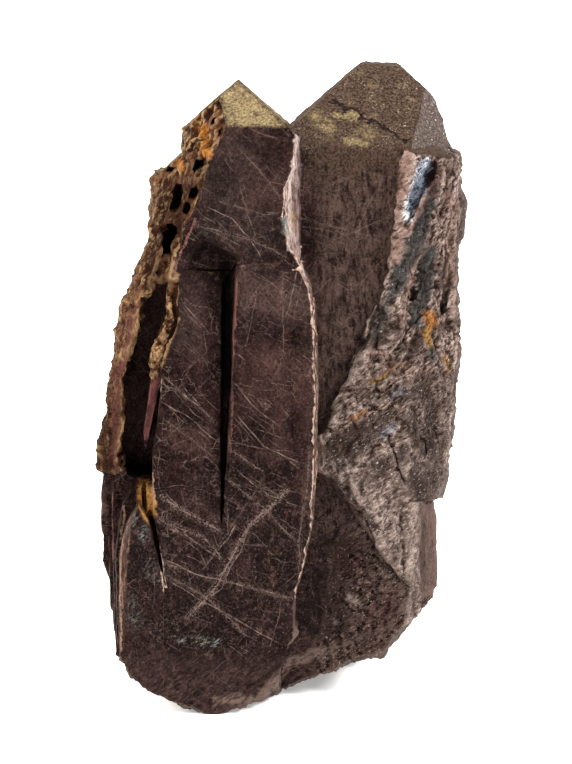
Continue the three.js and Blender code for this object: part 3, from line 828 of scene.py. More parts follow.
def rim_share(points):
    """How brightly worn the edges are: most along the front plates, not at all on the right crystal."""
    x, y, z = points.T
    share = (1 - rise(x, 4.7, 5.3)) * (1 - rise(y, 7, 9)) * (0.35 + 0.65 * rise(z, 8, 12))
    # Less on the left but for its foot, on the tips, on the lower left steps, over the slot and beside it.
    share *= 1 - 0.45 * rise(-x, 2.0, 3.0) * (1 - rise(-x, 8.8, 9.2) * (1 - rise(z, 30, 32)))
    share *= 1 - 0.8 * rise(z, 49.0, 50.0)
    share *= 1 - 0.55 * rise(-x, 10.4, 11.0) * (1 - rise(z, 31, 33))
    over_slot = rise(z, 39.0, 39.8) * (1 - rise(z, 45, 46))
    share *= 1 - 0.6 * over_slot * rise(-x, -2.0, -1.0) * (1 - rise(-x, 8.4, 9.0))
    share *= 1 - 0.9 * rise(z, 40.0, 40.4) * (1 - rise(z, 43, 44)) * rise(-x, 3.0, 3.6)
    return share


def rough_relief(points, looks):
    """How far out the crust, the flank and the broken faces stand, in millimetres where they are roughest:
    lumps, ridges, small tilted facets and grains, in that order of size."""
    x, y, z = points.T
    crust, flank = looks["crust"], looks["flank"]
    drawn_out = points * [1, 1, 0.7]
    lumps = fractal(drawn_out, 3.2, 4, 21)
    ridges = fractal(drawn_out, 1.3, 3, 31, ridged=True)
    # The ridges of the upper crust run along its length.
    along = points @ CRUST_GRAIN
    streaks = fractal(points - 0.72 * np.outer(along, CRUST_GRAIN), 0.9, 3, 35, ridged=True)
    gap, offset, own = cells_of(drawn_out, 1.1, 41)
    facets = np.sum(offset * (own - 0.5), axis=1)
    seams = 1 - rise(gap, 0.0, 0.25)
    _, small_offset, small_own = cells_of(points, 0.55, 45)
    small_facets = np.sum(small_offset * (small_own - 0.5), axis=1)
    # The hollows of the upper flank, and the flutes of the lower one.
    wall, _, _ = cells_of(points * [0.8, 0.8, 0.62], 1.5, 47)
    boxwork = rise(wall, 0.10, 0.42) * rise(fractal(points, 4.0, 2, 48), -0.35, 0.1)
    flutes = fractal(points * [1.0, 1.0, 0.12], 0.9, 3, 49, ridged=True)
    high_flank = rise(z, 37.0, 41.0)
    left_side = rise(0.2 * z - x, 19.0, 20.0)
    heavy = np.clip(crust + flank, 0, 1)
    upper = rise(z, 28, 34) * crust
    lower = crust - upper
    unseen = np.clip(looks["broken"] + crust * rise(y, 8, 11), 0, 1)
    rough = (0.30 + 0.45 * heavy) * lumps * (1 - 0.35 * lower)
    rough = rough + 0.45 * unseen * fractal(drawn_out, 6.5, 3, 27, ridged=True)
    rough += (0.10 + 0.12 * heavy) * ridges * (1 - upper) + 0.26 * upper * streaks
    rough += (0.36 * facets + 0.32 * small_facets) * (1 - 0.35 * lower) - 0.10 * seams + 0.25 * crust
    rough += flank * (0.35 * flutes * (1 - 0.6 * high_flank) - 0.55 * boxwork * high_flank * (1 - left_side))
    return rough


def smooth_relief(points):
    """How far out the smooth faces stand: faint waves, stronger at the foot, and a swelling at lower left."""
    x, _, z = points.T
    low = 1 - rise(z, 14, 26)
    broad, narrow = fractal(points, 5.0, 3, 11), fractal(points, 1.3, 3, 15)
    waves = (0.05 + 0.06 * low) * broad + (0.03 + 0.08 * low) * narrow
    return waves + 0.25 * rise(-x, 14.0, 15.0) * (1 - rise(z, 19.0, 21.0)) * rise(z, 4.0, 7.0)


def edge_chips(points, to_outer):
    """How much is gone from the outer edges: they are worn a little everywhere, and chipped in places."""
    chips = 0.04 + 0.24 * rise(fractal(points, 1.0, 3, 51), 0.05, 0.75)
    chips += 0.08 * rise(fractal(points, 0.4, 2, 57), 0.1, 0.8)
    return chips * (1 - rise(to_outer, 0.0, CHIP_REACH)) ** 1.5


def bend_of(points, normals, grain):
    """How far each point strays sideways, and on rough surfaces in and out too."""
    bend = 0.20 * vector_noise(points, 1.7, 61) + 0.08 * vector_noise(points, 0.6, 64)
    bend *= (0.35 + 0.65 * grain)[:, None]
    return bend - normals * (np.sum(bend * normals, axis=1) * (1 - grain))[:, None]


def grounded(moved, points):
    """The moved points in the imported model, with those of the underside kept flat on the ground."""
    packed, before = to_packed(moved), to_packed(points)
    stands = before[:, 2] < GROUND
    packed[:, 2] = np.where(stands, 0.0, np.maximum(packed[:, 2], GROUND))
    packed[stands, :2] = before[stands, :2]
    return packed


def shape_of():
    """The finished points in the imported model, the triangles, and what the material reads at each point."""
    corners, rings, face_normals = flat_faces(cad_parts[NODE])
    surface = cut_surface(corners, rings, face_normals)
    outer, inner = sharp_edges(corners, rings, face_normals)
    points = np.array(surface.points)
    normals = np.array(surface.normals)
    normals /= np.linalg.norm(normals, axis=1)[:, None] + 1e-9
    shares = np.array(surface.looks) / np.maximum(surface.faces_at, 1)[:, None]
    looks = dict(zip(LOOKS, shares.T))
    grain = grain_of(looks)
    line = np.array(surface.line)
    to_outer = distance_to(outer, points)
    to_inner = distance_to(inner, points)

    # Rough surfaces are calmer near inner edges.
    rough = grain * rough_relief(points, looks) * (0.6 * rise(to_inner, 0.0, 0.5) + 0.4)
    out = smooth_relief(points) + rough - edge_chips(points, to_outer) - CRACK_DEPTH * line
    moved = points + bend_of(points, normals, grain) + normals * out[:, None]
    packed = grounded(moved, points)

    looks["worn"] = (1 - np.clip(to_outer / WEAR_REACH, 0, 1)) * rim_share(points)
    looks["edge"] = 1 - np.clip(to_outer / EDGE_REACH, 0, 1)
    looks["hollow"] = 1 - rise(to_inner, *HOLLOW_REACH)
    looks["line"] = line
    looks["grain"] = grain
    # The peaks paint crests lighter and pits darker in the material: painted light and shade.
    looks["peak"] = peaks(packed, normals, surface.triangles)
    looks["halo"] = vein_halo(moved)
    strayed = moved + sum(0.2 * size * vector_noise(moved, size, 71) for size in (1.4, 0.7, 0.35))
    for name, patches in PATCHES.items():
        shade, cover = patches_at(patches, strayed, PATCH_CORE.get(name, CORE))
        looks[name + "_shade"], looks[name + "_cover"] = shade, cover
    return packed, surface.triangles, looks


def peaks(points, normals, triangles):
    """How far each point stands out from its neighbours, from -1 in a pit to 1 on a crest."""
    triangles = np.array(triangles)
    starts = triangles.ravel()
    ends = np.roll(triangles, -1, axis=1).ravel()
    total = np.zeros_like(points)
    count = np.zeros(len(points))
    np.add.at(total, starts, points[ends])
    np.add.at(count, starts, 1)
    mean = total / np.maximum(count, 1)[:, None]
    out = np.sum((points - mean) * turned(normals, -LEAN), axis=1)
    total = np.zeros(len(points))
    np.add.at(total, starts, out[ends])
    return np.clip((out + total / np.maximum(count, 1)) / CREST, -1, 1)


def make_piece():
    """The whole group as one mesh object."""
    packed, triangles, looks = shape_of()
    mesh = bpy.data.meshes.new(PIECE)
    mesh.from_pydata((packed / MM).tolist(), [], triangles)
    mesh.validate()
    mesh.shade_smooth()
    mesh.set_sharp_from_angle(angle=SHADE_SHARP)
    for name, values in looks.items():
        kind, field = ("FLOAT_VECTOR", "vector") if values.ndim == 2 else ("FLOAT", "value")
        layer = mesh.attributes.new(name, kind, "POINT")
        layer.data.foreach_set(field, values.astype(np.float32).ravel())
    return placed(PIECE, mesh)


def placed(name, data):
    """A new object in the scene."""
    made = bpy.data.objects.new(name, data)
    bpy.context.scene.collection.objects.link(made)
    return made


# ---- The material's nodes ---------------------------------------------------------------------------------


class Nodes:
    """Adds shader nodes to a tree, one call each, and gives back the socket that the next one takes."""

    def __init__(self, tree):
        self.tree = tree

    def add(self, kind, inputs=(), **settings):
        """A new node with these settings, each of its inputs linked to a socket or set to a value."""
        node = self.tree.nodes.new(kind)
        for name, value in settings.items():
            setattr(node, name, value)
        for name, value in dict(inputs).items():
            if isinstance(value, bpy.types.NodeSocket):
                self.tree.links.new(value, node.inputs[name])
            else:
                node.inputs[name].default_value = value
        return node

    def math(self, operation, a, b=0.0, c=0.0):
        return self.add("ShaderNodeMath", {0: a, 1: b, 2: c}, operation=operation).outputs[0]

    def times(self, a, b):
        return self.math("MULTIPLY", a, b)

    def plus(self, a, b):
        return self.math("ADD", a, b)

    def most(self, a, b):
        return self.math("MAXIMUM", a, b)

    def vector(self, operation, a, b=(0, 0, 0)):
        node = self.add("ShaderNodeVectorMath", {0: a, 1: b}, operation=operation)
        return node.outputs["Value" if operation in ("DOT_PRODUCT", "LENGTH") else "Vector"]

    def joined(self, x, y, z):
        return self.add("ShaderNodeCombineXYZ", {0: x, 1: y, 2: z}).outputs[0]

    def scaled(self, place, x, y, z):
        return self.vector("MULTIPLY", place, (x, y, z))

    def attribute(self, name, output="Fac"):
        return self.add("ShaderNodeAttribute", attribute_name=name, attribute_type="GEOMETRY").outputs[output]

    def noise(self, place, size, detail=4.0, rough=0.55):
        inputs = {"Vector": place, "Scale": 1 / size, "Detail": detail, "Roughness": rough}
        return self.add("ShaderNodeTexNoise", inputs).outputs["Fac"]

    def wander(self, place, size, reach):
        """A vector that wanders smoothly from place to place, up to half the reach each way."""
        shifts = ((0, 0, 0), (31.7, 5.3, 11.9), (7.1, 43.3, 23.9))
        parts = [self.noise(self.vector("ADD", place, shift), size, 3.0, 0.6) for shift in shifts]
        return self.scaled(self.vector("SUBTRACT", self.joined(*parts), (0.5, 0.5, 0.5)), reach, reach, reach)

    def between(self, value, low, high, to_low=0.0, to_high=1.0):
        """What a value is worth: to_low at low, to_high at high, and smooth between them."""
        inputs = {"Value": value, "From Min": low, "From Max": high, "To Min": to_low, "To Max": to_high}
        return self.add("ShaderNodeMapRange", inputs, interpolation_type="SMOOTHSTEP", clamp=False).outputs[0]

    def mix(self, factor, a, b):
        """One colour where the factor is 0, the other where it is 1."""
        a, b = (c if isinstance(c, bpy.types.NodeSocket) else (*c, 1.0) for c in (a, b))
        return self.add("ShaderNodeMix", {0: factor, 6: a, 7: b}, data_type="RGBA").outputs[2]

    def shaded(self, value, low, high, a, b):
        """One colour where a value is low, the other where it is high."""
        return self.mix(self.between(value, low, high), a, b)

    def over(self, base, colour, share, other):
        """A colour laid over another, as fully as two shares together say."""
        return self.mix(self.times(share, other), base, colour)


class ZirconNodes(Nodes):
    """The nodes of the zircon's material, with the values that several of its surfaces read. Noise lies round
    0.5, and is given a size in millimetres, detail and roughness. The numbers in between() are a range of
    noise, of millimetres or of an attribute, and then the shares at its two ends."""

    def __init__(self, tree):
        super().__init__(tree)
        at = self.add("ShaderNodeTexCoord").outputs["Object"]
        shift = turned(-STANDS_AT[None, :], LEAN)[0]
        turn = {"Vector": at, "Location": tuple(shift), "Rotation": (LEAN, 0, 0), "Scale": (MM, MM, MM)}
        self.place = self.add("ShaderNodeMapping", turn).outputs[0]
        self.x, self.y, self.z = self.add("ShaderNodeSeparateXYZ", {0: self.place}).outputs
        self.peak, self.grain = self.attribute("peak"), self.attribute("grain")
        self.at_front = self.between(self.y, 9.0, 8.0)
        self.specks = self.noise(self.place, 0.24, 5.0, 0.78)
        self.fine = self.noise(self.place, 0.24, 6.0, 0.80)
        self.fibres = self.noise(self.scaled(self.place, 1, 1, 0.13), 0.42, 5.0, 0.72)
        # Places that stray, for patches, for narrow lines and for hairs.
        sway = self.wander(self.place, 1.2, 1.8)
        self.patch_at = self.vector("ADD", self.place, sway)
        self.line_at = self.vector("ADD", self.place, self.scaled(sway, 0.55, 0.55, 0.55))
        hair_at = self.vector("ADD", self.place, self.scaled(sway, 0.3, 0.3, 0.3))
        self.hairs = self.noise(hair_at, 0.15, 4.0, 0.7)
        # The grains and lumps of the rough surfaces, drawn out along the crust's ridges.
        along = self.vector("DOT_PRODUCT", self.place, (0.82, 0.0, 0.57))
        along = self.scaled(self.joined(along, along, along), 0.55, 0.0, 0.38)
        self.combed = self.vector("SUBTRACT", self.place, along)
        self.grains = self.noise(self.combed, 0.24, 5.0, 0.78)
        self.lumps = self.noise(self.combed, 2.4, 6.0, 0.62)
        # Painted light and shade: the mesh's peaks make crests lighter and pits darker.
        self.lit = self.plus(self.grains, self.times(self.peak, 0.10))
        # Dark gaps between the grains, and painted shade in the mesh's pits.
        self.gaps_and_pit_shade = self.between(self.lit, 0.42, 0.56, 0.75, 0.0)
        # Gilt, stronger on the mesh's crests as painted light.
        gilt_and_crest_light = self.noise(self.scaled(self.place, 1, 1, 0.6), 0.55, 5.0, 0.75)
        self.gilt_and_crest_light = self.plus(gilt_and_crest_light, self.times(self.peak, 0.10))
        # Painted glints: bright specks painted into the colour where grains would catch the light.
        glint = self.between(self.noise(self.place, 0.20, 2.0, 0.5), 0.65, 0.70)
        self.glint = self.times(glint, self.between(self.noise(self.place, 2.4, 3.0), 0.42, 0.60, 0.25, 1.0))
        sparkle_at = self.vector("ADD", self.combed, (3.1, 7.7, 1.3))
        sparkle = self.between(self.noise(sparkle_at, 0.14, 2.0, 0.5), 0.63, 0.70)
        self.sparkle = self.times(sparkle, self.between(self.z, 32.0, 28.0, 0.1, 0.35))

    def made_of(self, name):
        """Whether the surface has a look, with a soft edge."""
        return self.between(self.attribute(name), 0.3, 0.7)

    def blurred(self, value, reach, *noise):
        """A value raised by up to the reach, from place to place."""
        return self.plus(value, self.times(self.noise(self.place, *noise), reach))

    def patched(self, base, name, share=1.0, dark=None):
        """A list of patches laid over a colour, with dark gaps between their grains if they have any, and
        painted shade in pits.
        """
        shade = self.attribute(name + "_shade", "Color")
        if dark:
            shade = self.mix(self.gaps_and_pit_shade, shade, dark)
        return self.over(base, shade, self.attribute(name + "_cover"), share)

    def band(self, place, start, end, half_width, core=CORE):
        """1 along a straight band between two (x, z) places, falling to 0 past its edges."""
        first, last = Vector((start[0], 0, start[1])), Vector((end[0], 0, end[1]))
        along = last - first
        turn = Euler((0, math.atan2(along.z, along.x), 0))
        middle = (first + last) / 2
        middle.rotate(turn)
        # In the band's own frame its middle is the origin and X runs along it.
        setup = {"Vector": place, "Location": tuple(-middle), "Rotation": tuple(turn), "Scale": (1, 0, 1)}
        own = self.add("ShaderNodeMapping", setup).outputs[0]
        past = self.vector("SUBTRACT", self.vector("ABSOLUTE", own), (along.length / 2, 0, 0))
        away = self.vector("LENGTH", self.vector("MAXIMUM", past))
        return self.between(away, core * half_width, PAST_EDGE * half_width, 1.0, 0.0)


# ---- The healed cracks that are only drawn ----------------------------------------------------------------

# Families of planes: the way they face, how far apart they are, how wide, and above what noise they show.
CRACK_FAMILIES = [
    ((0.62, 0.2, 0.79), 1.5, 0.045, 0.50),
    ((0.45, -0.2, 0.89), 2.2, 0.045, 0.51),
    ((-0.74, 0.1, 0.67), 2.4, 0.045, 0.52),
    ((0.2, 0.3, 0.95), 1.6, 0.040, 0.52),
    ((0.97, 0.25, 0.1), 2.1, 0.040, 0.53),
]


def crack_planes(n, bent, normal, spacing, width, keep):
    """Thin lines where a family of bent parallel planes meets the surface. Each plane keeps to patches."""
    across = n.vector("DOT_PRODUCT", bent, tuple(Vector(normal).normalized() / spacing))
    cell = n.math("FLOOR", across)
    own = n.add("ShaderNodeTexWhiteNoise", {"W": cell}, noise_dimensions="1D").outputs["Value"]
    centre = n.math("MULTIPLY_ADD", own, 0.7, 0.15)
    apart = n.math("ABSOLUTE", n.math("SUBTRACT", n.math("FRACT", across), centre))
    thin = n.between(n.times(apart, spacing), 0.0, width, 1.0, 0.0)
    shifted = n.vector("ADD", n.place, n.scaled(n.joined(cell, cell, cell), 17.3, 5.1, 9.7))
    return n.times(thin, n.between(n.noise(shifted, 4.0, 2.0, 0.5), keep, keep + 0.12))


def crackle(n, place, size, width, strength):
    """Thin lines between cells of one size."""
    walls = n.add("ShaderNodeTexVoronoi", {"Vector": place, "Scale": 1 / size}, feature="DISTANCE_TO_EDGE")
    return n.between(walls.outputs["Distance"], 0.0, width, strength, 0.0)


def crack_net(n):
    """The net of fine healed cracks that runs through the crystals, from 0 to 1."""
    planes = 0.0
    bent = n.vector("ADD", n.place, n.wander(n.place, 6.0, 2.6))
    for family in CRACK_FAMILIES:
        planes = n.most(planes, crack_planes(n, bent, *family))
    place = n.vector("ADD", n.place, n.wander(n.place, 2.2, 2.4))
    large = crackle(n, place, 1.8, 0.028, 1.0)
    large = n.times(large, n.between(n.noise(n.place, 3.5, 3.0), 0.47, 0.62))
    small = crackle(n, place, 0.75, 0.045, 0.7)
    small = n.times(small, n.between(n.noise(n.place, 2.6, 4.0, 0.6), 0.50, 0.62))
    net = n.most(large, n.times(small, n.between(n.z, 26.0, 18.0, 0.25, 1.0)))
    return n.most(n.times(planes, 0.5), n.times(net, 0.42))


def pale_lines(n):
    """The lines that stand out on the smooth faces, and the same with the veins' ragged halos and dust."""
    raised = n.times(crack_net(n), n.between(n.specks, 0.35, 0.6, 0.25, 1.0))
    raised = n.most(raised, n.times(n.attribute("line"), n.between(n.specks, 0.3, 0.6, 0.5, 1.0)))
    raised = n.times(raised, n.between(n.noise(n.place, 0.9, 3.0, 0.6), 0.40, 0.58, 0.35, 1.0))
    halo = n.between(n.attribute("halo"), 0.1, 0.9)
    net = n.most(raised, n.times(halo, n.between(n.hairs, 0.50, 0.60, 0.0, 0.7)))
    dust = n.between(n.noise(n.place, 0.17, 2.0, 0.5), 0.67, 0.73)
    return raised, n.most(net, n.times(dust, 0.3))


# ---- The colours of each kind of surface ------------------------------------------------------------------

# The seam across the right crystal's pyramid face, and the olive patches on it.
PYRAMID_SEAM = [(5.6, 56.0), (7.9, 54.8), (10.4, 53.7), (12.2, 52.5)]
OLIVE_PATCHES = [
    ((3.0, 55.4), (4.9, 53.6), 0.8),
    ((6.6, 52.6), (8.2, 52.2), 0.55),
    ((5.6, 54.9), (7.6, 54.6), 0.4),
]
# Narrow coloured lines along the edges of the front: colour, (x, z) of each end, half the width, and cover.
EDGE_LINES = [
    (GILT_EDGE, (-14.0, 18.6), (-14.4, 14.6), 0.15, 0.8),
    (GILT_EDGE, (-14.4, 14.6), (-14.35, 5.3), 0.13, 0.7),
    (GILT_EDGE, (-11.3, 21.8), (-11.2, 17.6), 0.13, 0.7),
    (ROSE, (-7.3, 45.6), (-8.5, 42.6), 0.13, 0.9),
    (ROSE, (-8.5, 42.6), (-9.55, 40.2), 0.13, 0.9),
    (ROSE, (-3.55, 41.0), (-3.85, 33.0), 0.16, 0.8),
    (ROSE, (-3.85, 33.0), (-4.15, 24.0), 0.12, 0.6),
    (ROSE, (-3.5, 41.3), (0.4, 41.5), 0.10, 0.6),
    (ROSE, (-11.5, 30.6), (-12.2, 25.2), 0.12, 0.7),
    (ROSE, (-15.4, 20.6), (-15.3, 13.2), 0.10, 0.7),
]


def smooth_faces(n, net):
    """The smooth faces: dark maroon, redder and darker in clouds, under a net of pale healed cracks."""
    clouds = n.noise(n.scaled(n.place, 1, 1, 0.6), 5.0, 6.0, 0.65)
    smooth = n.shaded(clouds, 0.38, 0.58, DEEP, MAROON)
    smooth = n.over(smooth, RED_BROWN, n.between(clouds, 0.48, 0.70), 0.6)
    tone = n.blurred(n.z, 14.0, 6.0, 4.0, 0.6)
    dim = n.most(n.between(tone, 36.0, 26.0), n.times(n.between(tone, 47.0, 51.0), 0.5))
    smooth = n.over(smooth, DEEP, dim, n.between(n.x, 5.0, 3.0, 0.35, 0.60))
    # The right crystal's front is brown, in upright streaks.
    streaky = n.noise(n.scaled(n.place, 1, 1, 0.3), 0.55, 5.0, 0.72)
    smooth = n.over(smooth, n.shaded(streaky, 0.36, 0.62, DEEP, BROWN), n.between(n.x, 2.0, 5.0), 0.8)
    smooth = n.patched(smooth, "tones_and_shade")
    # Mottles and specks, stronger at the foot.
    mottle = n.noise(n.scaled(n.place, 1, 1, 0.75), 0.75, 5.0, 0.72)
    for shade, value, low, high, top, at_foot, above in (
        (RED_BROWN, mottle, 0.50, 0.72, 30.0, 0.55, 0.30),
        (DEEP, mottle, 0.50, 0.36, 30.0, 0.9, 0.55),
        (SLATE, n.specks, 0.52, 0.68, 28.0, 0.55, 0.4),
        (BLACK, n.specks, 0.50, 0.36, 28.0, 0.95, 0.7),
    ):
        smooth = n.over(smooth, shade, n.between(value, low, high), n.between(n.z, 16.0, top, at_foot, above))
    return n.over(smooth, LINE, net, n.between(tone, 26.0, 40.0, 0.9, 0.8))


def crust(n):
    """The crust: pale grains over dark gaps and painted shade, coloured patches, mica with a painted sheen,
    painted glints.
    """
    rough = n.shaded(n.lit, 0.41, 0.54, CRUST_DARK_AND_SHADE, CRUST)
    rough = n.over(rough, PALE_GRAIN_AND_GLINT, n.between(n.lit, 0.54, 0.64), n.between(n.lumps, 0.40, 0.58, 0.25, 1.0))
    rough = n.over(rough, CRUST_DARK_AND_SHADE, n.between(n.lumps, 0.49, 0.38), 0.75)
    rough = n.mix(n.between(n.z, 27.0, 19.0, 0.0, 0.3), rough, CRUST_GREY)
    rough = n.patched(rough, "crust", dark=CRUST_DARK_AND_SHADE)
    # The mica: blue-grey grains, with a painted sheen where they are lit.
    sheen = n.shaded(n.lit, 0.56, 0.64, n.shaded(n.grains, 0.40, 0.56, MICA_DARK, MICA), GLINT)
    rough = n.mix(n.band(n.patch_at, (13.9, 50.4), (12.3, 45.9), 0.75), rough, sheen)
    # Painted glints over the crust, most on its lit grains, and finer ones lower down.
    rough = n.over(rough, GLINT, n.glint, n.between(n.lit, 0.48, 0.58, 0.0, 0.7))
    return n.mix(n.sparkle, rough, GLINT)


def fracture(n):
    """The broken back and sides: duller than the crust, without the patches, with fainter painted glints."""
    broken = n.shaded(n.lit, 0.38, 0.62, GREY_BROWN, FRACTURE)
    paler = n.shaded(n.grains, 0.4, 0.6, FRACTURE, CRUST)
    broken = n.over(broken, paler, n.between(n.lumps, 0.52, 0.66), 0.5)
    return n.over(broken, PALE_GRAIN_AND_GLINT, n.glint, 0.5)


def gritty_foot(n, net):
    """The gritty foot: between the smooth faces and the crust."""
    dull = n.mix(n.between(n.x, 3.0, 5.0), FOOT_BROWN, n.shaded(n.lumps, 0.38, 0.62, RED_BROWN, BROWN))
    gritty = n.shaded(n.lit, 0.38, 0.60, DEEP, dull)
    band = n.times(n.band(n.patch_at, (7.6, 17.0), (13.0, 10.0), 2.0, 0.1), n.between(n.lit, 0.38, 0.56))
    gritty = n.over(gritty, FRACTURE, band, 0.7)
    gritty = n.over(gritty, LINE, net, 0.5)
    at_right = n.between(n.x, 3.0, 5.0, 0.15, 1.0)
    pale = n.times(n.between(n.lumps, 0.42, 0.58, 0.3, 1.0), at_right)
    gritty = n.over(gritty, CRUST, n.between(n.lit, 0.55, 0.65), pale)
    # Painted glints, mostly to the right.
    return n.over(gritty, PALE_GRAIN_AND_GLINT, n.most(n.glint, n.sparkle), n.times(at_right, 0.8))


def flank(n):
    """The rusty flank: dark red-brown, gilt and painted light on its crests, orange in places, columns down
    its left edge.
    """
    high = n.between(n.z, 37.0, 40.0)
    rust = n.shaded(n.lit, 0.43, 0.60, RUST_DARK, n.over(RUST, RUST_DARK, high, 0.35))
    rust = n.shaded(n.gilt_and_crest_light, 0.56, 0.66, rust, GOLD)
    # Fibrous threads, paler on the mesh's crests as painted light: dark where low, pale gold where high.
    threads_and_crest_light = n.plus(n.noise(n.scaled(n.combed, 1, 1, 0.45), 0.30, 4.0, 0.7), n.times(n.peak, 0.12))
    rust = n.over(rust, RUST_DARK, n.between(threads_and_crest_light, 0.47, 0.40), 0.85)
    rust = n.over(rust, PALE_GOLD, n.between(threads_and_crest_light, 0.56, 0.63), n.between(n.z, 38.0, 42.0, 0.3, 0.8))
    rust = n.over(rust, ORANGE, n.between(n.lumps, 0.57, 0.64), n.between(n.grains, 0.45, 0.6, 0.0, 0.35))
    column = n.shaded(n.fibres, 0.44, 0.58, RUST, TAN)
    column = n.over(column, RUST_DARK, n.between(n.lit, 0.49, 0.42), 0.9)
    column = n.over(column, GOLD, n.between(n.gilt_and_crest_light, 0.58, 0.66), 0.8)
    column = n.over(column, RUST_DARK, n.between(n.z, 32.0, 27.0), n.between(n.fibres, 0.60, 0.48, 0.25, 0.8))
    outward = n.plus(n.plus(n.x, n.times(n.z, -0.2)), n.times(high, 0.9))
    rust = n.shaded(outward, -19.2, -20.0, rust, column)
    rust = n.over(rust, HOLLOW_RUST, n.attribute("hollow"), n.times(high, 0.5))
    return n.patched(rust, "flank", dark=RUST_DARK)


def pyramids(n, brown):
    """The pyramids' faces: fine crystals, olive in patches, brown elsewhere."""
    olive = n.shaded(n.fine, 0.38, 0.62, OLIVE_DARK, OLIVE)
    patches = n.between(n.noise(n.place, 2.6, 5.0, 0.65), 0.56, 0.68)
    tips = n.over(olive, brown, n.between(n.x, 0.0, 2.0), n.math("SUBTRACT", 1.0, n.times(patches, 0.5)))
    golden = n.shaded(n.fine, 0.40, 0.60, OLIVE_DARK, OLIVE)
    cover = n.between(n.y, 12.0, 10.0, 0.0, 0.8)
    for start, end, half_width in OLIVE_PATCHES:
        tips = n.over(tips, golden, n.band(n.patch_at, start, end, half_width, 0.2), cover)
    tips = n.over(tips, brown, n.between(n.noise(n.place, 1.1, 6.0, 0.75), 0.52, 0.62), 0.75)
    # Browner near the pyramids' edges, broken up by noise.
    by_pyramid_edge = n.blurred(n.attribute("edge"), 1.6, 0.9, 5.0, 0.7)
    tips = n.over(tips, brown, n.between(by_pyramid_edge, 1.25, 1.65), 0.75)
    # Painted glints.
    tips = n.over(tips, PALE_GRAIN_AND_GLINT, n.glint, 0.5)
    for start, end in zip(PYRAMID_SEAM, PYRAMID_SEAM[1:]):
        tips = n.over(tips, DEEP, n.band(n.patch_at, start, end, 0.16), 0.85)
    return tips


def bevel(n):
    """The right crystal's bevel: grey-brown, with painted glints."""
    return n.over(n.shaded(n.fine, 0.42, 0.60, BEVEL_DARK, BEVEL), GLINT, n.glint, 0.7)


def sides(n):
    """The bevel at the lower left, and the pale fibrous strip down the front plates' right side."""
    strip = n.shaded(n.fibres, 0.41, 0.54, STRIP_DARK, STRIP)
    strip = n.mix(n.between(n.y, 2.5, 5.0, 0.0, 0.7), strip, RED_BROWN)
    # Darker brown lower down the strip.
    strip = n.over(strip, LOW_STRIP_BROWN, n.between(n.z, 41.5, 39.0), n.between(n.lumps, 0.40, 0.60, 1.0, 0.85))
    side = n.shaded(n.fibres, 0.46, 0.66, SIDE_DARK, SIDE)
    return n.shaded(n.x, -0.5, 0.5, side, strip)


def front_marks(n, colour):
    """The marks over the front: fractures, edge lines, scuffs and a painted sheen, a stain, painted shade in
    the slot.
    """
    grained = n.times(n.between(n.lit, 0.42, 0.56, 0.25, 1.0), n.at_front)
    colour = n.patched(colour, "foot", grained)
    broken_line = n.times(grained, n.between(n.hairs, 0.42, 0.54, 0.25, 1.0))
    for shade, start, end, half_width, cover in EDGE_LINES:
        cover = n.times(broken_line, cover)
        colour = n.over(colour, shade, n.band(n.line_at, start, end, half_width), cover)
    colour = n.patched(colour, "scuffs_and_sheen", n.times(n.between(n.grains, 0.50, 0.62), n.at_front))
    stain = n.times(n.band(n.patch_at, (-12.3, 20.3), (-11.6, 18.2), 0.75), n.at_front)
    colour = n.over(colour, DULL_OCHRE, stain, n.between(n.fine, 0.38, 0.55, 0.25, 1.0))
    # Painted shade: a black band down the slot.
    in_slot = n.times(n.between(n.y, 0.4, 1.2), n.at_front)
    return n.over(colour, BLACK, n.band(n.place, (-4.6, 41.2), (-4.5, 30.0), 0.55, 0.5), in_slot)


def relief(n, raised):
    """The finest relief, as a bump: faint waves on the smooth faces, grains on the rough ones."""
    waves = n.times(n.noise(n.place, 0.8, 5.0, 0.68), n.between(n.z, 12.0, 30.0, 0.34, 0.10))
    faint = n.plus(waves, n.times(raised, -0.02))
    coarse = n.plus(n.times(n.grains, 0.50), n.times(n.noise(n.place, 0.18, 3.0, 0.6), 0.20))
    inputs = {0: n.between(n.grain, 0.05, 0.75), 2: faint, 3: coarse}
    height = n.add("ShaderNodeMix", inputs, data_type="FLOAT").outputs[0]
    return n.add("ShaderNodeBump", {"Strength": 1.0, "Distance": 1 / MM, "Height": height}).outputs[0]


# The reflection is held low, so that the dark faces stay dark.
IOR = 1.5
SPECULAR = 0.03


def dullness(n, olive, bevelled):
    """How dull the surface is: most on the pyramids, the bevel and the left side."""
    dull = n.plus(n.between(n.grain, 0.0, 0.8, 0.34, 0.30), n.between(n.grains, 0.35, 0.65, 0.12, 0.0))
    dull = n.plus(dull, n.times(n.plus(olive, bevelled), 0.32))
    return n.plus(dull, n.times(n.between(n.x, -14.0, -14.5), 0.35))


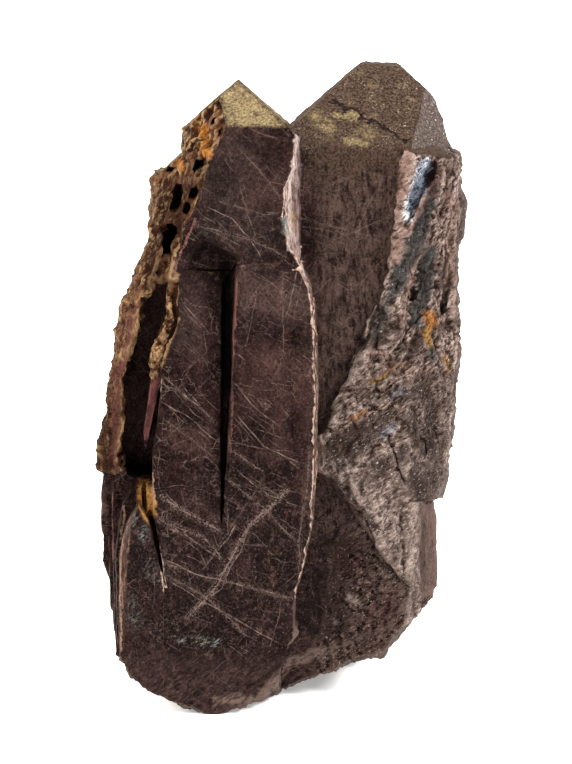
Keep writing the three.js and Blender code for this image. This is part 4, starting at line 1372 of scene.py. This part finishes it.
def zircon_material():
    """The group's material: each kind of surface where the mesh says it is, and what lies over them all."""
    material = bpy.data.materials.new("zircon")
    material.use_nodes = True
    material.node_tree.nodes.clear()
    n = ZirconNodes(material.node_tree)
    raised, net = pale_lines(n)
    smooth = smooth_faces(n, net)
    unseen = n.between(n.plus(n.y, n.times(n.lumps, 5.0)), 10.5, 13.0)
    rough = n.mix(n.most(n.times(unseen, 0.85), n.made_of("broken")), crust(n), fracture(n))
    brown = n.shaded(n.fine, 0.42, 0.60, TIP_DARK, TIP_BROWN)
    near_top = n.times(n.between(n.blurred(n.z, 12.0, 3.0, 5.0, 0.65), 53.5, 57.5), n.between(n.x, 2.2, 3.0))
    smooth = n.over(smooth, brown, near_top, 0.75)
    colour = n.mix(n.between(n.attribute("gritty"), 0.15, 0.6), smooth, gritty_foot(n, net))
    colour = n.shaded(n.plus(n.attribute("crust"), n.attribute("broken")), 0.3, 0.7, colour, rough)
    colour = n.mix(n.made_of("bevel"), colour, bevel(n))
    colour = n.mix(n.made_of("flank"), colour, flank(n))
    colour = n.over(colour, sides(n), n.made_of("side"), n.between(n.gilt_and_crest_light, 0.38, 0.54, 0.35, 1.0))
    colour = front_marks(n, colour)
    colour = n.mix(n.made_of("olive"), colour, pyramids(n, brown))
    wear = n.plus(n.attribute("worn"), n.noise(n.place, 0.5, 5.0, 0.75))
    colour = n.over(colour, RIM, n.between(wear, 1.12, 1.34), n.between(n.specks, 0.36, 0.56, 0.6, 0.95))

    dull = dullness(n, n.attribute("olive"), n.attribute("bevel"))
    inputs = {"Base Color": colour, "Roughness": dull, "Normal": relief(n, raised)}
    shader = n.add("ShaderNodeBsdfPrincipled", {**inputs, "IOR": IOR, "Specular IOR Level": SPECULAR})
    n.add("ShaderNodeOutputMaterial", {"Surface": shader.outputs[0]})
    return material


# ---- The stage ------------------------------------------------------------------------------------------

FLOOR_HALF = 4.0
FLOOR_GREY = 0.93
MIDDLE = (0, 0, 0.028)
# Each soft light: its name, where it is, how wide, how strong, and its colour.
LIGHTS = [
    ("top", (-0.06, 0.06, 0.50), 0.28, 3.6, (1, 0.99, 0.97)),
    ("left", (-0.36, -0.04, 0.28), 0.26, 3.7, (1, 0.93, 0.84)),
    ("right", (0.37, -0.10, 0.29), 0.13, 3.8, (1, 0.98, 0.97)),
    ("behind", (0.10, 0.45, 0.25), 0.3, 1.6, (1, 1, 1)),
]
# The camera: what it looks at in the growth frame, from how far in metres, and how steeply down.
CAMERA_AIM = (1.02, 2.0, 30.48)
CAMERA_AWAY = 0.300
TILT = math.radians(20)
LENS = 153.1
SENSOR_WIDTH = 36


def floor_plane():
    """A pale floor that glows as painted light: weakly by the group, lightening its shadows, fully out to its
    edges.
    """
    mesh = bpy.data.meshes.new("floor")
    turns = ((-1, -1), (1, -1), (1, 1), (-1, 1))
    mesh.from_pydata([(x * FLOOR_HALF, y * FLOOR_HALF, 0) for x, y in turns], [], [(0, 1, 2, 3)])
    floor = placed("floor", mesh)
    material = bpy.data.materials.new("floor")
    material.use_nodes = True
    shader = material.node_tree.nodes["Principled BSDF"]
    shader.inputs["Base Color"].default_value = (FLOOR_GREY, FLOOR_GREY, FLOOR_GREY, 1)
    shader.inputs["Roughness"].default_value = 0.9
    shader.inputs["Specular IOR Level"].default_value = 0.1
    shader.inputs["Emission Color"].default_value = (1, 1, 1, 1)
    n = Nodes(material.node_tree)
    away = n.vector("LENGTH", n.add("ShaderNodeTexCoord").outputs["Object"])
    material.node_tree.links.new(n.between(away, 0.02, 0.5, 0.35, 1.0), shader.inputs["Emission Strength"])
    mesh.materials.append(material)


def surroundings():
    """A pale room: white where the camera sees it, and dimmer in front of the group than behind it."""
    world = bpy.data.worlds.new("surroundings")
    world.use_nodes = True
    world.node_tree.nodes.clear()
    n = Nodes(world.node_tree)
    toward = n.add("ShaderNodeTexCoord").outputs["Generated"]
    behind = n.vector("DOT_PRODUCT", toward, (0.0, 0.8, 0.6))
    level = n.between(behind, -0.6, 0.9, 0.06, 0.28)
    seen = n.add("ShaderNodeLightPath").outputs["Is Camera Ray"]
    strength = n.add("ShaderNodeMix", {0: seen, 2: level, 3: 1.0}, data_type="FLOAT").outputs[0]
    light = n.add("ShaderNodeBackground", {"Color": (1, 1, 1, 1), "Strength": strength})
    n.add("ShaderNodeOutputWorld", {"Surface": light.outputs[0]})
    bpy.context.scene.world = world


def soft_light(name, place, width, power, colour):
    """A round area light that shines at the middle of the group."""
    data = bpy.data.lights.new(name, "AREA")
    data.shape = "DISK"
    data.size = width
    data.energy = power
    data.color = colour
    lamp = placed(name, data)
    lamp.location = place
    lamp.rotation_euler = (Vector(MIDDLE) - Vector(place)).to_track_quat("-Z", "Y").to_euler()


def camera():
    """The photo's view."""
    aim = to_packed(np.array([CAMERA_AIM]))[0] / MM
    direction = Vector((0, math.cos(TILT), -math.sin(TILT)))
    data = bpy.data.cameras.new("camera")
    data.sensor_width = SENSOR_WIDTH
    data.lens = LENS
    data.clip_start = 0.01
    eye = placed("camera", data)
    eye.location = Vector(aim) - direction * CAMERA_AWAY
    eye.rotation_euler = direction.to_track_quat("-Z", "Y").to_euler()
    bpy.context.scene.camera = eye


# ---- Putting it together --------------------------------------------------------------------------------

bpy.context.scene.view_settings.view_transform = "Standard"
group = make_piece()
group.data.materials.append(zircon_material())
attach(group, "root")
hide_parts(NODE)
floor_plane()
surroundings()
for light in LIGHTS:
    soft_light(*light)
camera()
